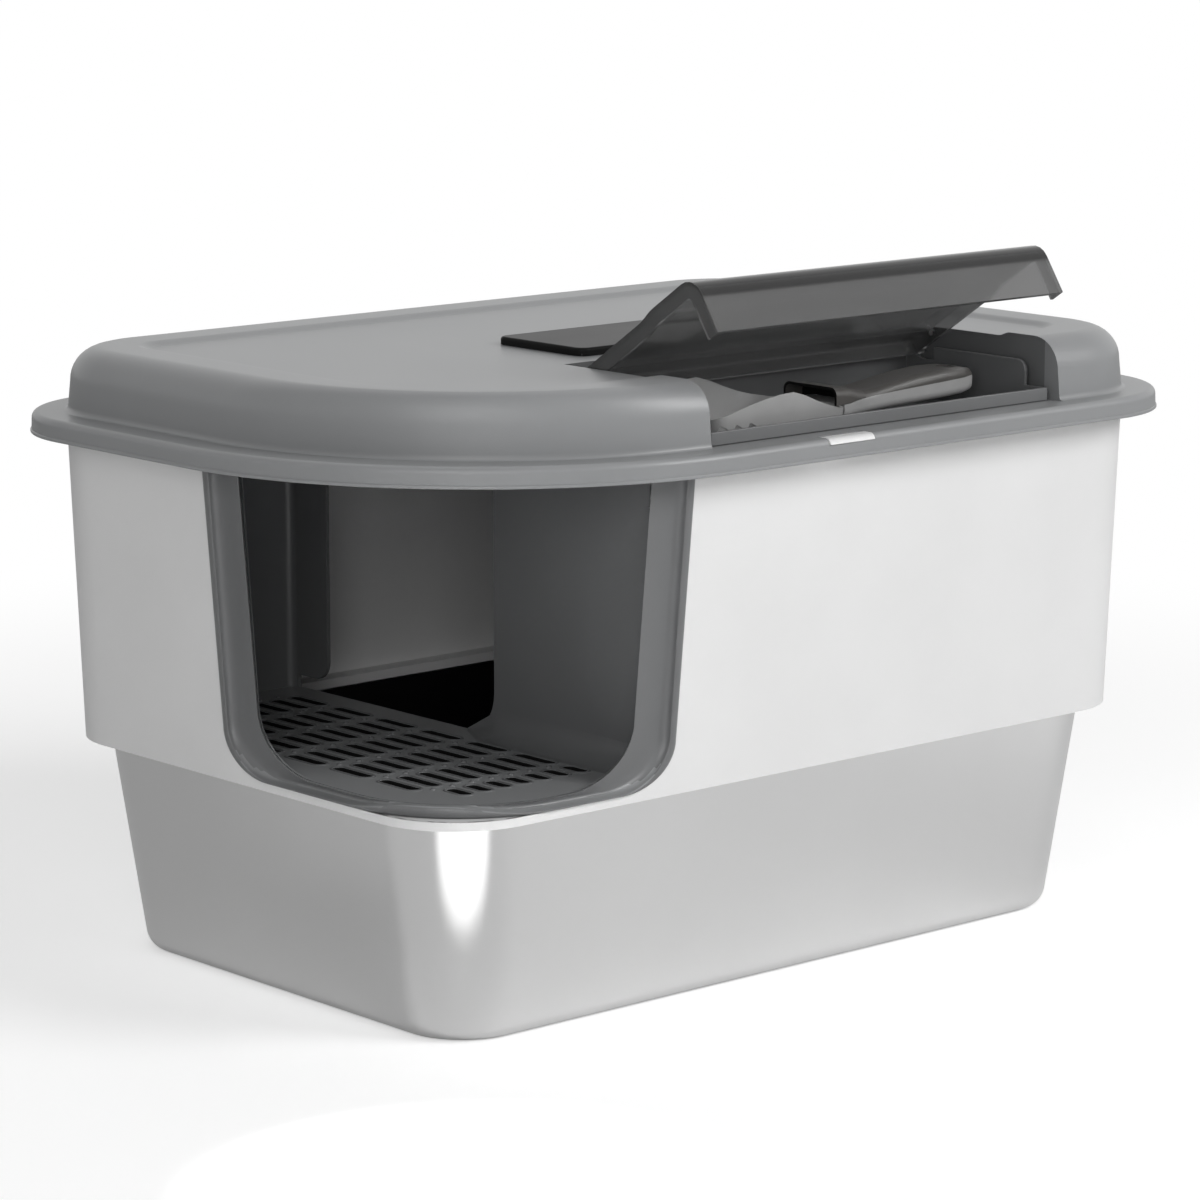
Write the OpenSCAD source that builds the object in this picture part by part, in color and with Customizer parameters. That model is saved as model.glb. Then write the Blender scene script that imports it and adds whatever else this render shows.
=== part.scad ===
// Covered litter box with a corner entry, a lift-up compartment lid and a scoop store.
// Origin: centre of the footprint on the floor. X runs along the long side, Y to the back, Z up.

/* [Main sizes] */
// length over the lid's edge
length = 620; // [450:1:800]
// depth over the lid's edge
depth = 431; // [330:1:560]
// height of the pan
pan_h = 133.7; // [80:0.1:180]
// height of the enclosure
skirt_h = 194.7; // [150:0.1:260]

/* [Pan] */
// how far the pan's long side draws in to its flat bottom
pan_draw_x = 26.7; // [10:0.1:50]
// how far the pan's short side draws in to its flat bottom
pan_draw_y = 26.5; // [10:0.1:50]
// corner radius of the flat bottom
pan_base_r = 34.5; // [20:0.5:60]
// gap between the pan's wall and the enclosure's face along X
pan_in_x = 11.3; // [6:0.1:30]
// gap between the pan's wall and the enclosure's face along Y
pan_in_y = 10.8; // [6:0.1:30]
// corner radius of the wall at the rim
pan_wall_r = 57; // [30:1:80]
// height of the bottom edge's curve
pan_fillet = 12; // [4:0.5:25]
// how far the bottom edge's curve reaches out
pan_foot = 9.8; // [3:0.1:20]
// thickness of the steel sheet
pan_t = 1; // [0.6:0.1:2]
// radius of the rolled rim
pan_rim_r = 2; // [1.5:0.1:4]

/* [Enclosure] */
// how far the lower edge hangs below the top of the pan's rim
skirt_drop = 2.6; // [1:0.1:20]
// how far the enclosure's lower edge lies in from the lid's edge along X
skirt_in_x = 28.5; // [15:0.5:50]
// how far the enclosure's lower edge lies in from the lid's edge along Y
skirt_in_y = 28; // [15:0.5:50]
// corner radius at the lower edge
skirt_r = 55.2; // [30:0.1:80]
// outward lean, millimetres per millimetre of height
skirt_lean = 0.0378; // [0:0.0001:0.1]
// wall thickness
skirt_t = 2.5; // [1.8:0.1:4]
// how far the inner ledge reaches in from the wall
ledge_w = 14; // [8:0.5:20]
// thickness of the ledge and its lip
ledge_t = 2.2; // [1.5:0.1:4]
// how far the lip hangs below the ledge
lip_drop = 3.5; // [3:0.5:12]
// corner radius of the lip that sits inside the pan
lip_r = 57; // [30:1:80]
// thickness of the sealing ring on the rim
seal_t = 1.2; // [0.8:0.1:3]
// width of the sealing ring
seal_w = 3; // [2:0.1:5]
// height of the white sill under the entry
sill_h = 5; // [2:0.1:8]
// depth of the lug that a latch catches
lug_depth = 6; // [4:0.1:10]
// thickness of the lug
lug_t = 2.5; // [1.5:0.1:4]
// half width of the lug
lug_half = 14; // [8:0.5:25]
// depth of the lug's lower face below the lid's flange
lug_low = 9.5; // [6:0.1:20]

/* [Entry] */
// sideways shift of the opening from the near corner
mouth_shift = -9.83; // [-40:0.01:20]
// half width of the frame across the corner at mid height
mouth_half = 135.4; // [90:0.1:180]
// height above the enclosure's lower edge where that half width is taken
mouth_rise = 102.9; // [60:0.1:150]
// lean of the frame's sides
mouth_lean = 0.069; // [0:0.001:0.15]
// radius of the frame's lower corners
mouth_r = 28; // [10:1:60]
// width of the frame's band across the corner
band_w = 23.5; // [15:0.5:35]
// width of the raised bead across the corner
bead_w = 4.4; // [3:0.1:8]
// how much of the bead laps over the enclosure
lap_w = 3.4; // [2:0.1:6]
// how far the bead stands out
bead_out = 2; // [1:0.1:4]
// how far the band lies behind the enclosure's face
band_in = 1.5; // [0:0.1:4]
// thickness of the frame
frame_t = 2.5; // [1.5:0.1:4]
// radius of the frame around the near corner
frame_r = 80; // [55:1:110]
// radius of the band's lower inner corners
mouth_in_r = 36; // [15:1:60]
// height of the bead along the frame's bottom
strip_h = 6.9; // [3:0.1:10]
// how far the frame's upper ends stop below the enclosure's top
frame_low = 3.8; // [2:0.1:20]

/* [Tunnel] */
// height of the tunnel floor above the enclosure's lower edge
floor_rise = 11.9; // [8:0.1:40]
// wall thickness
tun_t = 2.5; // [1.8:0.1:4]
// gap between the tunnel and the enclosure's left face
tun_in_x = 4.3; // [3:0.1:20]
// width of the tunnel
tun_w = 154.7; // [100:0.5:220]
// gap between the tunnel and the enclosure's front face
tun_in_y = 4.3; // [3:0.1:20]
// length of the tunnel
tun_d = 335.7; // [200:0.5:360]
// radius of the corner behind the entry
tun_near_r = 76; // [40:1:110]
// radius of the other corners
tun_r = 8; // [4:1:40]
// how far the walls stop below the enclosure's top
tun_low = 13.8; // [5:0.1:60]
// distance of the exit window from the tunnel's front
window_front = 139; // [90:0.5:180]
// distance of the exit window from the tunnel's back
window_rear = 37.5; // [10:0.5:90]
// distance of the exit window from the top of the wall
window_low = 6; // [4:0.5:60]
// radius of the window's corners
window_r = 26; // [8:1:50]
// radius of the exit window's upper corners
window_top_r = 6; // [2:1:20]
// height of the gap under the wall behind the exit window
foot_gap = 8; // [3:0.5:20]
// radius of that wall's free corner
foot_r = 12; // [4:1:20]
// distance between slot rows along X
slot_dx = 14.3; // [10:0.1:25]
// distance between slots along Y
slot_dy = 42.5; // [30:0.1:60]
// length of a slot
slot_len = 32; // [15:0.5:38]
// width of a slot
slot_w = 7; // [2:0.1:8]
// middle of the first slot from the tunnel's left face
slot_in_x = 30.7; // [10:0.1:60]
// middle of the first full slots from the tunnel's front
slot_in_y = 77.2; // [50:0.1:120]
// middle of the short front slots from the tunnel's front
slot_short_in = 42.2; // [25:0.1:70]
// length of the short front slots
slot_short_len = 18; // [8:0.5:30]

/* [Frame screws] */
// shank radius
screw_r = 1.4; // [1:0.1:3]
// head radius
screw_head_r = 2.9; // [2:0.1:5]
// head height
screw_head_h = 1.6; // [1:0.1:3]
// radius of the bosses for the screws
screw_boss_r = 3.6; // [2.5:0.1:6]
// wall left in front of a screw
screw_cover = 1.9; // [0.5:0.1:3]
// height of the lower screws above the enclosure's lower edge
screw_low = 68.9; // [40:0.1:100]
// height of the upper screws above the enclosure's lower edge
screw_high = 158.9; // [110:0.1:180]
// distance of the left screws from the frame's outer edge
screw_left_in = 10.5; // [8:0.5:18]
// distance of the right screws from the frame's outer edge
screw_right_in = 6; // [6:0.5:12]

/* [Lid] */
// corner radius of the flange
flange_r = 82; // [40:1:120]
// radius of the flange at the near corner
flange_near_r = 222; // [100:1:300]
// height of the flange's side
flange_h = 12.5; // [8:0.1:25]
// gap between the enclosure's top and the lid
shelf_gap = 0.4; // [0.3:0.05:1]
// radius of the flange's upper edge
flange_round = 4; // [1:0.5:8]
// wall thickness of the lid
lid_t = 2.8; // [2:0.1:4]
// how far the dome stands back from the flange's edge along X
dome_in_x = 22; // [10:0.5:60]
// how far the dome stands back from the flange's edge along Y
dome_in_y = 17.5; // [10:0.5:60]
// corner radius of the dome at the flange
dome_r = 68; // [30:1:100]
// radius of the dome's near corner at the flange
dome_near_r = 205; // [100:1:280]
// how much faster than the sides that corner draws in towards the top
dome_near_share = 1.4; // [0:0.05:1.8]
// inward draft of the dome's side
dome_draft = 1.5; // [0:0.1:6]
// radius of the dome's upper edge
dome_round = 20; // [8:0.5:30]
// height of the dome above the flange
dome_h = 37.5; // [25:0.1:80]
// width of the upper band
dome_band = 20; // [8:0.5:40]
// width of the soft step down to the panel
step_w = 10; // [4:0.5:20]
// depth of the recessed panel
step_h = 2.5; // [1:0.1:6]
// how far the lid's lip reaches in over the enclosure
rest_in = 5; // [3:0.5:10]

/* [Compartment] */
// length of the compartment
bay_w = 285; // [150:0.5:320]
// distance of the compartment from the dome's right side
bay_right = 97; // [60:0.5:150]
// depth of the compartment
bay_d = 114; // [80:0.5:150]
// distance of the deep part from the dome's front
bay_front = 12.5; // [10:0.1:40]
// depth of the compartment's floor below the flange
bay_low = 12; // [6:0.1:30]

/* [Flap] */
// depth of the hinge below the dome's top
hinge_low = 6; // [5:0.1:15]
// distance of the hinge from the compartment's rear side
hinge_in = 21.5; // [14:0.5:40]
// angle the flap stands open at rest
flap_open = 33.5; // [0:0.5:90]
// thickness of the flap
flap_t = 2.6; // [1.5:0.1:4]
// gap between the closed flap's rear edge and the compartment
flap_rear = 7.5; // [5:0.1:12]
// how far the closed flap stands in front of the dome
flap_out = 4; // [1:0.1:10]
// gap between the closed flap's front and the flange
flap_rise = 1; // [0.5:0.1:10]
// depth of the closed flap's face below the dome's top behind its step
flap_low = 1.7; // [0.5:0.1:5]
// height of the flap's step
flap_step = 2; // [0:0.1:5]
// front end of the step, measured from the front face
flap_step_y = 41; // [25:0.5:60]
// width of the flap's step
flap_step_w = 15; // [5:0.5:25]
// radius of the flap's front edge
flap_round = 12; // [5:0.5:20]
// gap between the flap and the compartment's sides
flap_gap = 1.5; // [0.5:0.1:4]
// depth of the flap's end rims
rim_depth = 9.5; // [4:0.5:15]
// depth of the flap's rear rim
rear_depth = 11.5; // [6:0.5:14]
// thickness of the end rims
rim_t = 2.5; // [1.5:0.1:4]
// radius of the ear around the hinge pin
ear_r = 3.2; // [2.5:0.1:6]
// radius of the hinge pins
pin_r = 1.8; // [1:0.1:3]
// length of the boss that holds a hinge pin
pin_boss = 4; // [2:0.5:8]
// wall left behind a hinge pin
pin_back = 0.8; // [0.4:0.1:2]

/* [Latches] */
// half width of the notch in the flange
notch_half = 18; // [10:0.5:30]
// inner edge of the notch, measured in from the flange's edge
notch_in = 11.9; // [8:0.1:16]
// depth of the notch at the flange's edge
notch_depth = 4; // [2:0.1:8]
// pivot of the latch, measured in from the flange's edge
latch_in = 9; // [5:0.1:12]
// depth of the latch pivot below the flange's face
latch_low = 2.5; // [2:0.1:5]
// radius of the latch barrel
barrel_r = 2.4; // [1.8:0.1:4]
// radius of the latch pin
latch_pin_r = 1.2; // [0.8:0.1:2]
// thickness of the latch tab
tab_t = 2.3; // [1.5:0.1:4]
// thickness of the latch leg
leg_t = 2; // [1.5:0.1:4]
// half width of the latch leg
leg_half = 13; // [6:0.5:20]
// thickness of the hook
hook_t = 2.3; // [1.5:0.1:4]
// how far the hook reaches under the lug
hook_under = 2.9; // [1:0.1:5]
// length of the bosses that hold a latch pin
latch_boss = 4; // [2:0.5:8]
// half depth of those bosses
latch_boss_w = 3.5; // [2:0.1:6]
// gap between the latch tab and the sides of its notch
latch_gap = 0.4; // [0.2:0.1:1]

/* [Filter] */
// distance of the filter cover from the compartment's left side
cover_left = 28; // [5:0.5:90]
// length of the filter cover
cover_w = 227; // [80:0.5:280]
// gap between the compartment and the filter cover
cover_gap = 16.5; // [6:0.5:60]
// depth of the filter cover
cover_d = 78; // [30:0.5:150]
// height of the filter cover
cover_h = 4.7; // [3:0.1:10]
// corner radius of the filter cover
cover_r = 7; // [2:0.5:20]
// radius of the cover's upper edge
cover_round = 2; // [0.5:0.1:3]
// width of the cover's rim around the tray
cover_rim = 2; // [1:0.1:5]
// width of the tray's flange
basket_flange = 3; // [2:0.1:6]
// thickness of the tray's flange and walls
basket_t = 1.4; // [1:0.1:3]
// gap around the tray's walls and around the pad in it
basket_gap = 0.5; // [0.2:0.1:2]
// depth of the tray
basket_depth = 17; // [8:0.5:25]
// thickness of the carbon pad
pad_h = 12; // [5:0.5:20]
// width of a slot in the tray
grille_w = 5; // [3:0.1:8]
// distance between slots in the tray
grille_dx = 9; // [6:0.1:15]

/* [Scoop tray] */
// gap between the tray and the compartment's sides
tray_side = 4.5; // [1:0.1:10]
// gap behind the tray
tray_back = 1.5; // [0.5:0.1:5]
// gap in front of the tray's deep part
tray_gap = 0.5; // [0.2:0.1:2]
// gap between the tray and the flap's rear rim as it swings past
swing_gap = 0.7; // [0.4:0.1:2]
// wall thickness of the tray
tray_t = 2.5; // [1.5:0.1:4]
// depth of the end and rear walls below the dome's top
tray_low = 14.2; // [12:0.1:30]
// distance of the end walls from the compartment's front
tray_end_in = 9.5; // [5:0.1:30]
// radius of the end walls' front corner
tray_end_r = 7; // [2:0.5:15]
// height of the low front wall above the flange
tray_front_h = 8; // [3:0.1:12]
// how far the low front wall stands in front of the deep part
tray_front_out = 7; // [4:0.1:12]

/* [Scoop] */
// distance of the blade from the compartment's left side
blade_left = 19; // [8:0.5:40]
// length of the blade
blade_w = 120; // [80:0.5:150]
// distance of the blade's near side from the compartment's front
blade_front = 3.5; // [2:0.1:20]
// width of the blade at its upper edge
blade_d = 83.3; // [60:0.1:84]
// how far the side walls lean out
blade_lean = 6; // [0:0.5:12]
// thickness of the blade
blade_t = 1; // [0.6:0.1:2]
// height of the side walls at the front edge
blade_low = 20; // [2:0.5:28]
// distance of the side walls' highest point from the front edge
blade_peak_in = 63; // [30:0.5:100]
// height of the side walls there
blade_peak = 32; // [15:0.5:34]
// height of the blade's rear wall
blade_back = 16.4; // [10:0.1:30]
// radius of the blade's rear corners
blade_rear_r = 30; // [8:1:40]
// radius of the blade's other corners
blade_r = 12; // [4:1:30]
// slots across the blade
blade_slots = 8; // [4:1:12]
// width of a blade slot
blade_slot_w = 4; // [2:0.1:8]
// length of a blade slot
blade_slot_len = 66; // [30:1:100]
// number of slots in the near side
side_slots = 3; // [1:1:5]
// distance of the first of them from the front
side_slot_in = 5; // [3:0.5:20]
// their pitch
side_slot_dx = 11; // [6:0.5:20]
// height of their upper ends above the blade's floor
side_slot_z = 14; // [10:0.5:18]
// their length
side_slot_len = 17; // [8:0.5:20]
// their width
side_slot_w = 3.4; // [2:0.1:5]
// their slope downwards to the rear, in degrees
side_slot_turn = 27; // [0:1:40]
// how far the collar reaches over the blade
collar_over = 7; // [3:0.5:15]
// length of the collar
collar_len = 31; // [20:0.5:50]
// wall thickness of the collar
collar_t = 1.8; // [1:0.1:3]
// length of the collar's solid end
collar_end = 10.8; // [4:0.1:20]
// gap between the blade's rear wall and the handle
grip_gap = 0.2; // [0.1:0.05:1]
// reach of the handle behind the blade
grip_len = 121; // [80:0.5:130]
// corner radius of the handle's section
grip_r = 5; // [2:0.5:7]
// height of the seam above the blade at its rear wall
seam_z0 = 16.6; // [12:0.1:20]
// height of the seam above the blade at the handle's end
seam_z1 = 23; // [16:0.1:28]
// radius of the hanging hole
hole_r = 6; // [3:0.5:10]
// distance of the hanging hole from the handle's end
hole_in = 14; // [8:0.5:40]
// radius of a rivet
rivet_r = 1.4; // [1:0.1:3]
// radius of a rivet head
rivet_head_r = 2.8; // [2:0.1:5]
// length of a rivet's shank
rivet_len = 9; // [5:0.5:20]
// height of a rivet head
rivet_head_h = 1; // [0.5:0.1:2]
// distance between the rivets
rivet_pitch = 20; // [10:1:30]
// height of the rivets above the blade
rivet_z = 12.4; // [6:0.1:14]

/* [Fits] */
// gap between pieces of one body that only rest together
rest_gap = 0.3; // [0.1:0.05:1]
// radial play of a turning pin
pin_play = 0.05; // [0.01:0.01:0.1]

/* [Hidden] */
corner_steps = 8;
near_steps = 16;
round_steps = 5;
eps = 0.01;
cut = 40;

// Plan sizes, from the outer edge inwards
flange_x = length / 2;
flange_y = depth / 2;
skirt_x = flange_x - skirt_in_x;
skirt_y = flange_y - skirt_in_y;
pan_wall_x = skirt_x - pan_in_x;
pan_wall_y = skirt_y - pan_in_y;
pan_base_x = pan_wall_x - pan_draw_x;
pan_base_y = pan_wall_y - pan_draw_y;
tun_x0 = tun_in_x - skirt_x;
tun_x1 = tun_x0 + tun_w;
tun_y0 = tun_in_y - skirt_y;
tun_y1 = tun_y0 + tun_d;
window_y0 = tun_y0 + window_front;
window_y1 = tun_y1 - window_rear;
slot_x = tun_x0 + slot_in_x;
slot_y = tun_y0 + slot_in_y;
slot_short_y = tun_y0 + slot_short_in;
mouth_c = (skirt_y - skirt_x) / sqrt(2) + mouth_shift;
dome_x = flange_x - dome_in_x;
dome_y = flange_y - dome_in_y;
bay_x1 = dome_x - bay_right;
bay_x0 = bay_x1 - bay_w;
bay_y0 = bay_front - dome_y;
bay_y1 = bay_y0 + bay_d;
hinge_y = bay_y1 - hinge_in;
flap_y0 = -dome_y - flap_out;
flap_y1 = bay_y1 - flap_rear;
cover_x0 = bay_x0 + cover_left;
cover_x1 = cover_x0 + cover_w;
cover_y0 = bay_y1 + cover_gap;
cover_y1 = cover_y0 + cover_d;
tray_end_y = bay_y0 + tray_end_in;
tray_front_y = bay_y0 - tray_front_out;
blade_x0 = bay_x0 + blade_left;
blade_x1 = blade_x0 + blade_w;
blade_peak_x = blade_x0 + blade_peak_in;
blade_y0 = bay_y0 + blade_front;
blade_y1 = blade_y0 + blade_d;
collar_x0 = blade_x1 - collar_over;
collar_x1 = collar_x0 + collar_len;
grip_x1 = blade_x1 + grip_len;
hole_x = grip_x1 - hole_in;

// Heights, from the floor upwards
skirt_z = pan_h - skirt_drop;
skirt_top = skirt_z + skirt_h;
floor_z = skirt_z + floor_rise;
mouth_mid = skirt_z + mouth_rise;
screw_z0 = skirt_z + screw_low;
screw_z1 = skirt_z + screw_high;
frame_top = skirt_top - frame_low;
tun_top = skirt_top - tun_low;
window_top = tun_top - window_low;
flange_z1 = skirt_top + shelf_gap + lid_t;
flange_z0 = flange_z1 - flange_h;
lug_z = flange_z1 - lug_low;
latch_z = flange_z1 - latch_low;
bay_z = flange_z1 - bay_low;
flap_z0 = flange_z1 + flap_rise;
tray_front_z = flange_z1 + tray_front_h;
dome_z = flange_z1 + dome_h;
hinge_z = dome_z - hinge_low;
flap_z1 = dome_z - flap_low;
tray_end_z = dome_z - tray_low;

steel = [0.76, 0.76, 0.77];
white = [0.9, 0.9, 0.9];
grey = [0.5, 0.51, 0.52];
smoke = [0.22, 0.22, 0.23];
black = [0.08, 0.08, 0.09];
taupe = [0.36, 0.35, 0.33];
pale = [0.7, 0.7, 0.71];

// Rounded outline. The corner towards -X and -Y has its own radius.
function arc(cx, cy, r, start, steps) =
    [for (i = [0 : steps]) let (a = start + i * 90 / steps) [cx + r * cos(a), cy + r * sin(a)]];
function outline(hx, hy, r, rn) = concat(
    arc(hx - r, hy - r, r, 0, corner_steps),
    arc(r - hx, hy - r, r, 90, corner_steps),
    arc(rn - hx, rn - hy, rn, 180, near_steps),
    arc(hx - r, r - hy, r, 270, corner_steps));
// A ring is half length, half depth, height, corner radius and near corner radius,
// with an optional shift along the length.
function ring(hx, hy, r, rn, grow, z) = [hx + grow, hy + grow, z, r + grow, rn + grow];

module stack(rings, looped = false) {
    m = 3 * (corner_steps + 1) + near_steps + 1;
    n = len(rings);
    points = [for (q = rings) for (p = outline(q[0], q[1], q[3], q[4]))
        [p[0] + (len(q) > 5 ? q[5] : 0), p[1], q[2]]];
    sides = [for (i = [0 : (looped ? n - 1 : n - 2)]) for (j = [0 : m - 1])
        [i * m + j, ((i + 1) % n) * m + j, ((i + 1) % n) * m + (j + 1) % m, i * m + (j + 1) % m]];
    ends = looped ? [] : [[for (j = [0 : m - 1]) j], [for (j = [m - 1 : -1 : 0]) (n - 1) * m + j]];
    polyhedron(points, concat(sides, ends), convexity = 8);
}

// Steel pan
pan_side_h = pan_h - 2 * pan_rim_r;
function pan_ring(share, grow, z) = [
    pan_base_x + (pan_wall_x - pan_base_x) * share + grow,
    pan_base_y + (pan_wall_y - pan_base_y) * share + grow, z,
    pan_base_r + (pan_wall_r - pan_base_r) * share + grow,
    pan_base_r + (pan_wall_r - pan_base_r) * share + grow];
foot_share = pan_foot / (pan_wall_x - pan_base_x);
foot_turn = 83;

module steel_pan() {
    outer = [for (i = [0 : round_steps]) let (a = i * foot_turn / round_steps)
        pan_ring(foot_share * sin(a), 0, pan_fillet * (1 - cos(a)))];
    inner = [for (i = [round_steps : -1 : 0]) let (a = i * foot_turn / round_steps)
        pan_ring(foot_share * sin(a), -pan_t * sin(a), pan_fillet * (1 - cos(a)) + pan_t * cos(a))];
    bead = [for (a = [-90 : 30 : 120])
        pan_ring(1, pan_rim_r + pan_rim_r * cos(a), pan_h - pan_rim_r + pan_rim_r * sin(a))];
    color(steel)
        stack(concat(outer, [pan_ring(1, 0, pan_side_h)], bead,
            [pan_ring(1, -pan_t, pan_h - pan_rim_r), pan_ring(1, -pan_t, pan_side_h)], inner));
}

// Enclosure
seal_z = pan_h + rest_gap;
ledge_z = seal_z + seal_t;
function skirt_grow(z) = skirt_lean * (z - skirt_z);
function skirt_ring(grow, z) =
    ring(skirt_x, skirt_y, skirt_r, skirt_r, grow + skirt_grow(z), z);
function lip_ring(grow, z) = [skirt_x - ledge_w + grow, skirt_y - ledge_w + grow, z, lip_r + grow,
    lip_r + grow];
sill_z = skirt_z + sill_h;

// Entry outline in the upright plane that faces the near corner
function mouth_edge(side, z, inset) =
    mouth_c + side * (mouth_half - inset + mouth_lean * (z - mouth_mid));
function mouth_points(inset, z0, z1, r) = concat(
    [[mouth_edge(-1, z1, inset), z1]],
    arc(mouth_edge(-1, z0 + r, inset) + r, z0 + r, r, 180, corner_steps),
    arc(mouth_edge(1, z0 + r, inset) - r, z0 + r, r, 270, corner_steps),
    [[mouth_edge(1, z1, inset), z1]]);
mouth_reach = mouth_half;
module mouth(inset, z0, z1, r) {
    rotate([90, 0, -45])
        translate([0, 0, mouth_reach])
            linear_extrude(height = mouth_reach * 2)
                polygon(mouth_points(inset, z0, z1, r));
}

module lug(side) {
    y0 = skirt_y + skirt_grow(lug_z) + lug_depth;
    translate([-lug_half, side > 0 ? y0 - lug_depth - skirt_t / 2 : -y0, lug_z])
        cube([2 * lug_half, lug_depth + skirt_t / 2, lug_t]);
}

module enclosure() {
    color(white) {
        difference() {
            union() {
                stack([skirt_ring(0, skirt_z), skirt_ring(0, skirt_top),
                    skirt_ring(-skirt_t, skirt_top), skirt_ring(-skirt_t, ledge_z + ledge_t),
                    lip_ring(-ledge_t, ledge_z + ledge_t), lip_ring(-ledge_t, ledge_z - lip_drop),
                    lip_ring(0, ledge_z - lip_drop), lip_ring(0, ledge_z),
                    skirt_ring(-skirt_t, ledge_z), skirt_ring(-skirt_t, skirt_z)], true);
                lug(-1);
                lug(1);
            }
            mouth(lap_w, sill_z, skirt_top + cut, mouth_r - lap_w);
            intersection() {
                mouth(lap_w, 0, skirt_top + cut, mouth_r - lap_w);
                stack([skirt_ring(-skirt_t, 0), skirt_ring(-skirt_t, skirt_top)]);
            }
        }
        intersection() {
            difference() {
                stack([skirt_ring(-skirt_t / 2, skirt_z), skirt_ring(-skirt_t / 2, sill_z)]);
                stack([frame_ring(-band_in, 0), frame_ring(-band_in, skirt_top)]);
            }
            mouth(0, skirt_z, skirt_top, mouth_r);
        }
    }
}

module rim_seal() {
    color(black)
        difference() {
            stack([
                pan_ring(1, pan_rim_r + seal_w / 2, seal_z),
                pan_ring(1, pan_rim_r + seal_w / 2, ledge_z),
                pan_ring(1, pan_rim_r - seal_w / 2, ledge_z),
                pan_ring(1, pan_rim_r - seal_w / 2, seal_z)], true);
            mouth(lap_w, 0, skirt_top, mouth_r);
        }
}

// Entry frame
function frame_ring(grow, z) =
    ring(skirt_x, skirt_y, skirt_r, frame_r, grow + skirt_grow(z), z);
module frame_layer(out, in) {
    difference() {
        stack([frame_ring(out, sill_z + rest_gap), frame_ring(out, frame_top)]);
        stack([frame_ring(in, 0), frame_ring(in, skirt_top + cut)]);
    }
}
frame_back = -band_in - frame_t;

module entry_frame() {
    color(grey)
        difference() {
            union() {
                intersection() {
                    frame_layer(bead_out, 0);
                    difference() {
                        mouth(0, skirt_z, skirt_top + cut, mouth_r);
                        mouth(bead_w, sill_z + strip_h, skirt_top + 2 * cut, mouth_r - bead_w);
                    }
                }
                intersection() {
                    frame_layer(0, frame_back);
                    difference() {
                        mouth(lap_w + rest_gap, sill_z, skirt_top + cut, mouth_r - lap_w);
                        mouth(bead_w, sill_z + strip_h, skirt_top + 2 * cut, mouth_r - bead_w);
                    }
                }
                intersection() {
                    frame_layer(-band_in, frame_back);
                    difference() {
                        mouth(lap_w + rest_gap, sill_z, skirt_top + cut, mouth_r - lap_w);
                        mouth(band_w, floor_z, skirt_top + 2 * cut, mouth_in_r);
                    }
                }
                frame_bosses();
            }
            screw_bores(0);
        }
}

// Screws run along X on the left side and along Y on the right side.
left_face = tun_x0 + tun_t;
front_face = tun_y0 + tun_t;
function screw_reach(z) = skirt_x + skirt_grow(z) - band_in - screw_cover + left_face;
function screw_left_y(z) =
    -skirt_x - skirt_grow(z) - sqrt(2) * mouth_edge(-1, z, screw_left_in);
function screw_right_x(z) =
    -skirt_y - skirt_grow(z) + sqrt(2) * mouth_edge(1, z, screw_right_in);
module on_screws(z) {
    translate([left_face, screw_left_y(z), z])
        rotate([0, -90, 0])
            children();
    translate([screw_right_x(z), front_face, z])
        rotate([90, 0, 0])
            children();
}
module frame_bosses() {
    for (z = [screw_z0, screw_z1])
        on_screws(z)
            translate([0, 0, tun_t + rest_gap])
                cylinder(h = screw_reach(z) - tun_t - rest_gap, r = screw_boss_r, $fn = 40);
}
module screw_bores(grow) {
    for (z = [screw_z0, screw_z1])
        on_screws(z)
            translate([0, 0, -eps])
                cylinder(h = screw_reach(z) - screw_cover + 2 * eps, r = screw_r + grow, $fn = 32);
}

module frame_screws() {
    color(steel)
        for (z = [screw_z0, screw_z1])
            on_screws(z) {
                cylinder(h = screw_reach(z) - screw_cover, r = screw_r, $fn = 32);
                translate([0, 0, -screw_head_h])
                    cylinder(h = screw_head_h, r = screw_head_r, $fn = 40);
            }
}

// Entry tunnel
tun_cx = (tun_x0 + tun_x1) / 2;
tun_cy = (tun_y0 + tun_y1) / 2;
module tunnel_plan(inset) {
    translate([tun_cx, tun_cy])
        polygon(outline((tun_x1 - tun_x0) / 2 - inset, (tun_y1 - tun_y0) / 2 - inset,
            tun_r - inset, tun_near_r - inset));
}
module slot(length) {
    square([slot_w, length - slot_w], center = true);
    for (s = [-1, 1])
        translate([0, s * (length - slot_w) / 2])
            circle(d = slot_w, $fn = 16);
}
slot_rows = 5;
slot_columns = 7;
module slots() {
    for (i = [0 : slot_columns]) {
        for (j = [0 : slot_rows])
            translate([slot_x + i * slot_dx, slot_y + j * slot_dy])
                slot(slot_len);
        if (i > 0)
            translate([slot_x + i * slot_dx, slot_short_y])
                slot(slot_short_len);
    }
}
ear_share = 0.6;
module screw_ear(z) {
    x0 = tun_x1 - tun_r * ear_share;
    translate([x0, tun_y0, z - 2 * screw_boss_r])
        cube([screw_right_x(z) + 1.5 * screw_boss_r - x0, tun_t, 4 * screw_boss_r]);
}

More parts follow.
